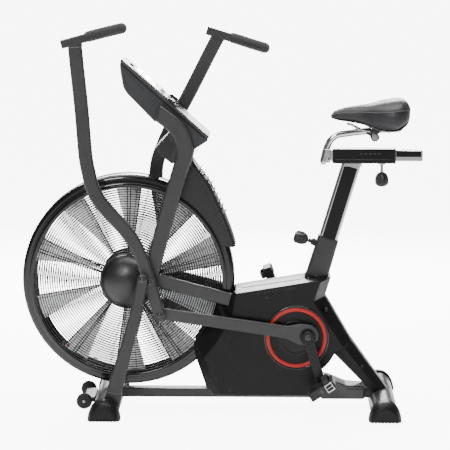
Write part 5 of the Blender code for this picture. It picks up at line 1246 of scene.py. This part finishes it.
def skin(f, a, lift):
    """Point a little above the skin."""
    x, y, z = saddle_point(f, a)
    e = 0.01
    p0, p1 = Vector(saddle_point(f, a - e)), Vector(saddle_point(f, a + e))
    q0, q1 = Vector(saddle_point(max(f - e, 0), a)), Vector(saddle_point(min(f + e, 1), a))
    nrm = (p1 - p0).cross(q1 - q0)
    nrm.normalize()
    c = Vector(saddle_point(f, math.pi / 2))
    inside = Vector((x, 0.0, SADDLE[5][2] + 45))
    v = Vector((x, y, z))
    if nrm.dot(v - inside) < 0:
        nrm.negate()
    return v + nrm * lift


# piping down both sides, meeting at the nose and the tail
seam_a = 0.34
line = []
steps = 60
for i in range(steps + 1):
    f = 0.03 + 0.93 * i / steps
    line.append(tuple(skin(f, seam_a, 0.35)))
back = []
for i in range(1, 12):
    a = seam_a + (math.pi - 2 * seam_a) * i / 12
    back.append(tuple(skin(0.965, a, 0.35)))
line2 = []
for i in range(steps + 1):
    f = 0.96 - 0.93 * i / steps
    line2.append(tuple(skin(f, math.pi - seam_a, 0.35)))
piece("saddle_piping", tube3d(line + back + line2, 1.25, 10, 1, 3), "saddle", PIPING, sharp=80)
# stitches beside the piping
stitch = []
for i in range(0, 84):
    f = 0.05 + 0.89 * i / 84
    for a in (seam_a + 0.13, math.pi - seam_a - 0.13):
        p0, p1 = skin(f, a, 0.12), skin(f + 0.0055, a, 0.12)
        stitch.append(tube3d([tuple(p0), tuple((p0 + p1) / 2 + Vector((0, 0, 0.14))), tuple(p1)], 0.34, 6, 2, 2))
piece("saddle_stitches", merged(*stitch), "saddle", PIPING)
# panel seams over the top, and the moulded base under the cover
tops = []
for off in (0.30, -0.30):
    tops.append(tube3d([tuple(skin(f, math.pi / 2 + off * (1.0 - 0.25 * f), -0.25)) for f in [0.10 + 0.80 * i / 40 for i in range(41)]], 0.7, 8, 1, 3))
piece("saddle_top_seams", merged(*tops), "saddle", PIPING)
base_secs = []
for i in range(31):
    f = 0.03 + 0.94 * i / 30
    x, hw, lo, hi = saddle_curve(f)
    row = []
    for k in range(24):
        a = 2 * math.pi * k / 24
        row.append(P(x, hw * 0.86 * math.cos(a), lo + 1.6 + 4.0 * math.sin(a)))
    base_secs.append(row)
piece("saddle_base", loft(base_secs), "saddle", SHADE, sharp=60)
RAILS = [(566, 27, 903), (540, 25, 899.4), (500, 24, 898.9), (470, 22, 899.4), (440, 17, 905), (415, 11, 918), (402, 5, 921.5), (400, 0, 922)]
rail = RAILS + [(x, -y, z) for x, y, z in RAILS[-2::-1]]
piece("rail_wire", tube3d([(577, 27.5, 915)] + rail + [(577, -27.5, 915)], 3.4, 20, 6, 3), "saddle", STEEL, "saddle_rails", sharp=70)
piece("saddle_clamp", merged(*[prism([(474, 893.2), (500, 893.2), (503, 897), (503, 902), (498, 904.5), (476, 904.5), (471, 902), (471, 897)], *ys(s, (12.5, 31))) for s in (-1, 1)]), "saddle", BLACK_BOLT, bevel=1.6, segments=3, angle=24)


# ---------------------------------------------------------------- knobs
def knob_rows(base, direction, reach, pin_r, shift, lobes=5):
    d = Vector(direction).normalized()
    side = d.orthogonal().normalized()
    other = d.cross(side)
    c = P(*base)
    rows = []
    prof = [(0, 9, 0.0), (1.5, 10.5, 0.1), (3, 13, 0.3), (5.5, 15.8, 0.6), (9, 17.8, 1.0), (14, 20.2, 1.0), (20, 22, 1.0), (27, 22.3, 1.0), (34, 22, 1.0), (37.5, 21.4, 1.0), (40, 20.2, 0.95), (42, 18.6, 0.85), (43.8, 16.2, 0.6), (45, 13.4, 0.35), (45.5, 10, 0.15)]
    for h, r, amp in prof:
        row = []
        for k in range(100):
            a = 2 * math.pi * k / 100
            wave = 0.5 + 0.5 * math.cos(lobes * a)
            rr = r - amp * 3.6 * (1 - wave) ** 1.6 * (r / 22)
            row.append(c + (side * math.cos(a) + other * math.sin(a)) * (rr * MM) + d * ((reach + h + shift * 0) * MM))
        rows.append(row)
    return rows, c, d


knob_h, c, d = knob_rows((kb[0], 0, kb[1]), knob_dir, 61.5, 5, 30.7)
piece("height_grip", loft(knob_h), "height_knob", KNOB, "height_knob", sharp=40)
piece("height_pin", lathe_dir([(0, 31), (4.6, 31), (4.6, 62), (0, 62)], (kb[0], 0, kb[1]), knob_dir, 28), "height_knob", STEEL)
piece("height_cap", lathe_dir([(0, 106.4), (11.5, 106.4), (12.4, 106.9), (12.4, 107.2), (10.8, 107.9), (4, 108.3), (0, 108.3)], (kb[0], 0, kb[1]), knob_dir, 56), "height_knob", RIM, sharp=40)
knob_s, c, d = knob_rows(sk, (0, 0, -1), 29.5, 5, -6)
piece("slide_grip", loft(knob_s), "slider_knob", KNOB, "slider_knob", sharp=40)
piece("slide_pin", lathe_dir([(0, -5.6), (4.6, -5.6), (4.6, 30), (0, 30)], sk, (0, 0, -1), 28), "slider_knob", STEEL)
piece("slide_cap", lathe_dir([(0, 74.4), (11.5, 74.4), (12.4, 74.9), (12.4, 75.2), (10.8, 75.9), (4, 76.3), (0, 76.3)], sk, (0, 0, -1), 56), "slider_knob", RIM, sharp=40)

# ---------------------------------------------------------------- transport wheels
piece("wheel_fork", prism([(-452, 24.2), (-441, 24.2), (-427, 21.8), (-414.3, 20), (-414.3, 36), (-440, 38), (-452, 35)], -70, 70), "frame", FRAME_COAT, "wheel_bracket", bevel=2.5, segments=4, angle=30, sharp=36)
piece("wheel_axle_bar", lathe([(0, -104.6), (3.4, -104.6), (5, -103.4), (5, 103.4), (3.4, 104.6), (0, 104.6)], *WHEEL, n=32), "frame", STEEL, sharp=40)
for side, s in SIDES:
    tyre = [(5.6, 84), (19.6, 84), (21.4, 84.5), (24.4, 86.6), (25.5, 88.2)]
    for k in range(4):
        y = 89.2 + 2.2 * k
        tyre += [(25.5, y), (25.0, y + 0.5), (25.0, y + 0.9), (25.5, y + 1.4)]
    tyre += [(25.5, 97.8), (24.4, 99.4), (21.4, 101.5), (19.6, 102), (17.5, 102), (16.8, 101.2), (9.6, 101.2), (9.0, 102), (5.6, 102)]
    piece(f"tyre_{side}", lathe([(r, s * y) for r, y in tyre], *WHEEL, n=96), f"wheel_{side}", TYREM, f"wheel_{side}", sharp=36)

# ---------------------------------------------------------------- carried-over pieces
carried = {
    "inner_frame": FRAME_COAT, "jackshaft": STEEL, "crank_axle": STEEL, "fan_shaft": STEEL,
    "drive_belt_lower": BELT, "drive_belt_upper": BELT,
}
for name, mat in carried.items():
    if name in NODES and not NODES[name].hide_render:
        NODES[name].data.materials.clear()
        NODES[name].data.materials.append(mat)

for ob in list(tools.objects):
    bpy.data.objects.remove(ob, do_unlink=True)
bpy.data.collections.remove(tools)

# ---------------------------------------------------------------- floor, backdrop, light, camera
def paper(name, line, glow, tint):
    """Strip of studio paper along Y, pale, with a fine tooth."""
    sheet = bmesh.new()
    rows = []
    for y, z in line:
        rows.append([sheet.verts.new((x, y, z - 0.0006)) for x in (-90, -8, 0, 8, 90)])
    for a, b in zip(rows, rows[1:]):
        for i in range(4):
            sheet.faces.new((a[i], a[i + 1], b[i + 1], b[i]))
    me = bpy.data.meshes.new(name)
    sheet.to_mesh(me)
    sheet.free()
    me.shade_smooth()
    ob = bpy.data.objects.new(name, me)
    bpy.context.scene.collection.objects.link(ob)
    fm = Nodes(name)
    fm.put("Base Color", fm.mix(fm.ramp(fm.noise(1.5, 3.0), 0.0, 1.0), (tint - 0.02,) * 3, (tint,) * 3))
    fm.put("Roughness", fm.ramp(fm.noise(40.0, 3.0), 0.72, 0.85))
    fm.put("Normal", fm.bump(fm.noise(900.0, 2.0), 0.00002, 0.3))
    if glow:
        # the paper shows white, but lights the bike only softly
        seen = fm.add("ShaderNodeLightPath").outputs["Is Camera Ray"]
        level = fm.ramp(seen, SOFT_GLOW, glow, 0.0, 1.0)
        fm.put("Emission Color", (1.0, 1.0, 1.0)).put("Emission Strength", level)
    me.materials.append(fm.mat)
    return ob


paper("studio_floor", [(-90.0, 0.0), (-20.0, 0.0), (-4.0, 0.0), (4.0, 0.0), (20.0, 0.0), (90.0, 0.0)], PAPER_GLOW, 0.95)

world = bpy.data.worlds.new("studio")
bpy.context.scene.world = world
world.use_nodes = True
bg = world.node_tree.nodes["Background"]
bg.inputs["Color"].default_value = (1.0, 1.0, 1.0, 1.0)
seen = world.node_tree.nodes.new("ShaderNodeLightPath")
level = world.node_tree.nodes.new("ShaderNodeMapRange")
level.inputs["To Min"].default_value = WORLD_GLOW
level.inputs["To Max"].default_value = PAPER_GLOW
world.node_tree.links.new(seen.outputs["Is Camera Ray"], level.inputs["Value"])
world.node_tree.links.new(level.outputs["Result"], bg.inputs["Strength"])


def area(name, at, look_at, size, power, color=(1, 1, 1)):
    data = bpy.data.lights.new(name, "AREA")
    data.shape = "RECTANGLE"
    data.size, data.size_y = size
    data.energy = power
    data.color = color
    ob = bpy.data.objects.new(name, data)
    bpy.context.scene.collection.objects.link(ob)
    ob.location = at
    ob.rotation_euler = (Vector(look_at) - Vector(at)).to_track_quat("-Z", "Y").to_euler()
    ob.visible_camera = False
    return ob


for args in LIGHTS:
    area(*args)

cam = bpy.data.cameras.new("view")
cam.sensor_width = 36.0
cam.lens = 2139.85 / 450 * 36
cam.clip_end = 50.0
view = bpy.data.objects.new("view", cam)
bpy.context.scene.collection.objects.link(view)
view.location = (0.1507 + 0.00425, -6.8493, 1.5966)
aim = Vector((0.0064 + 0.00425, 0.0, 0.5923))
view.rotation_euler = (aim - view.location).to_track_quat("-Z", "Y").to_euler()
bpy.context.scene.camera = view
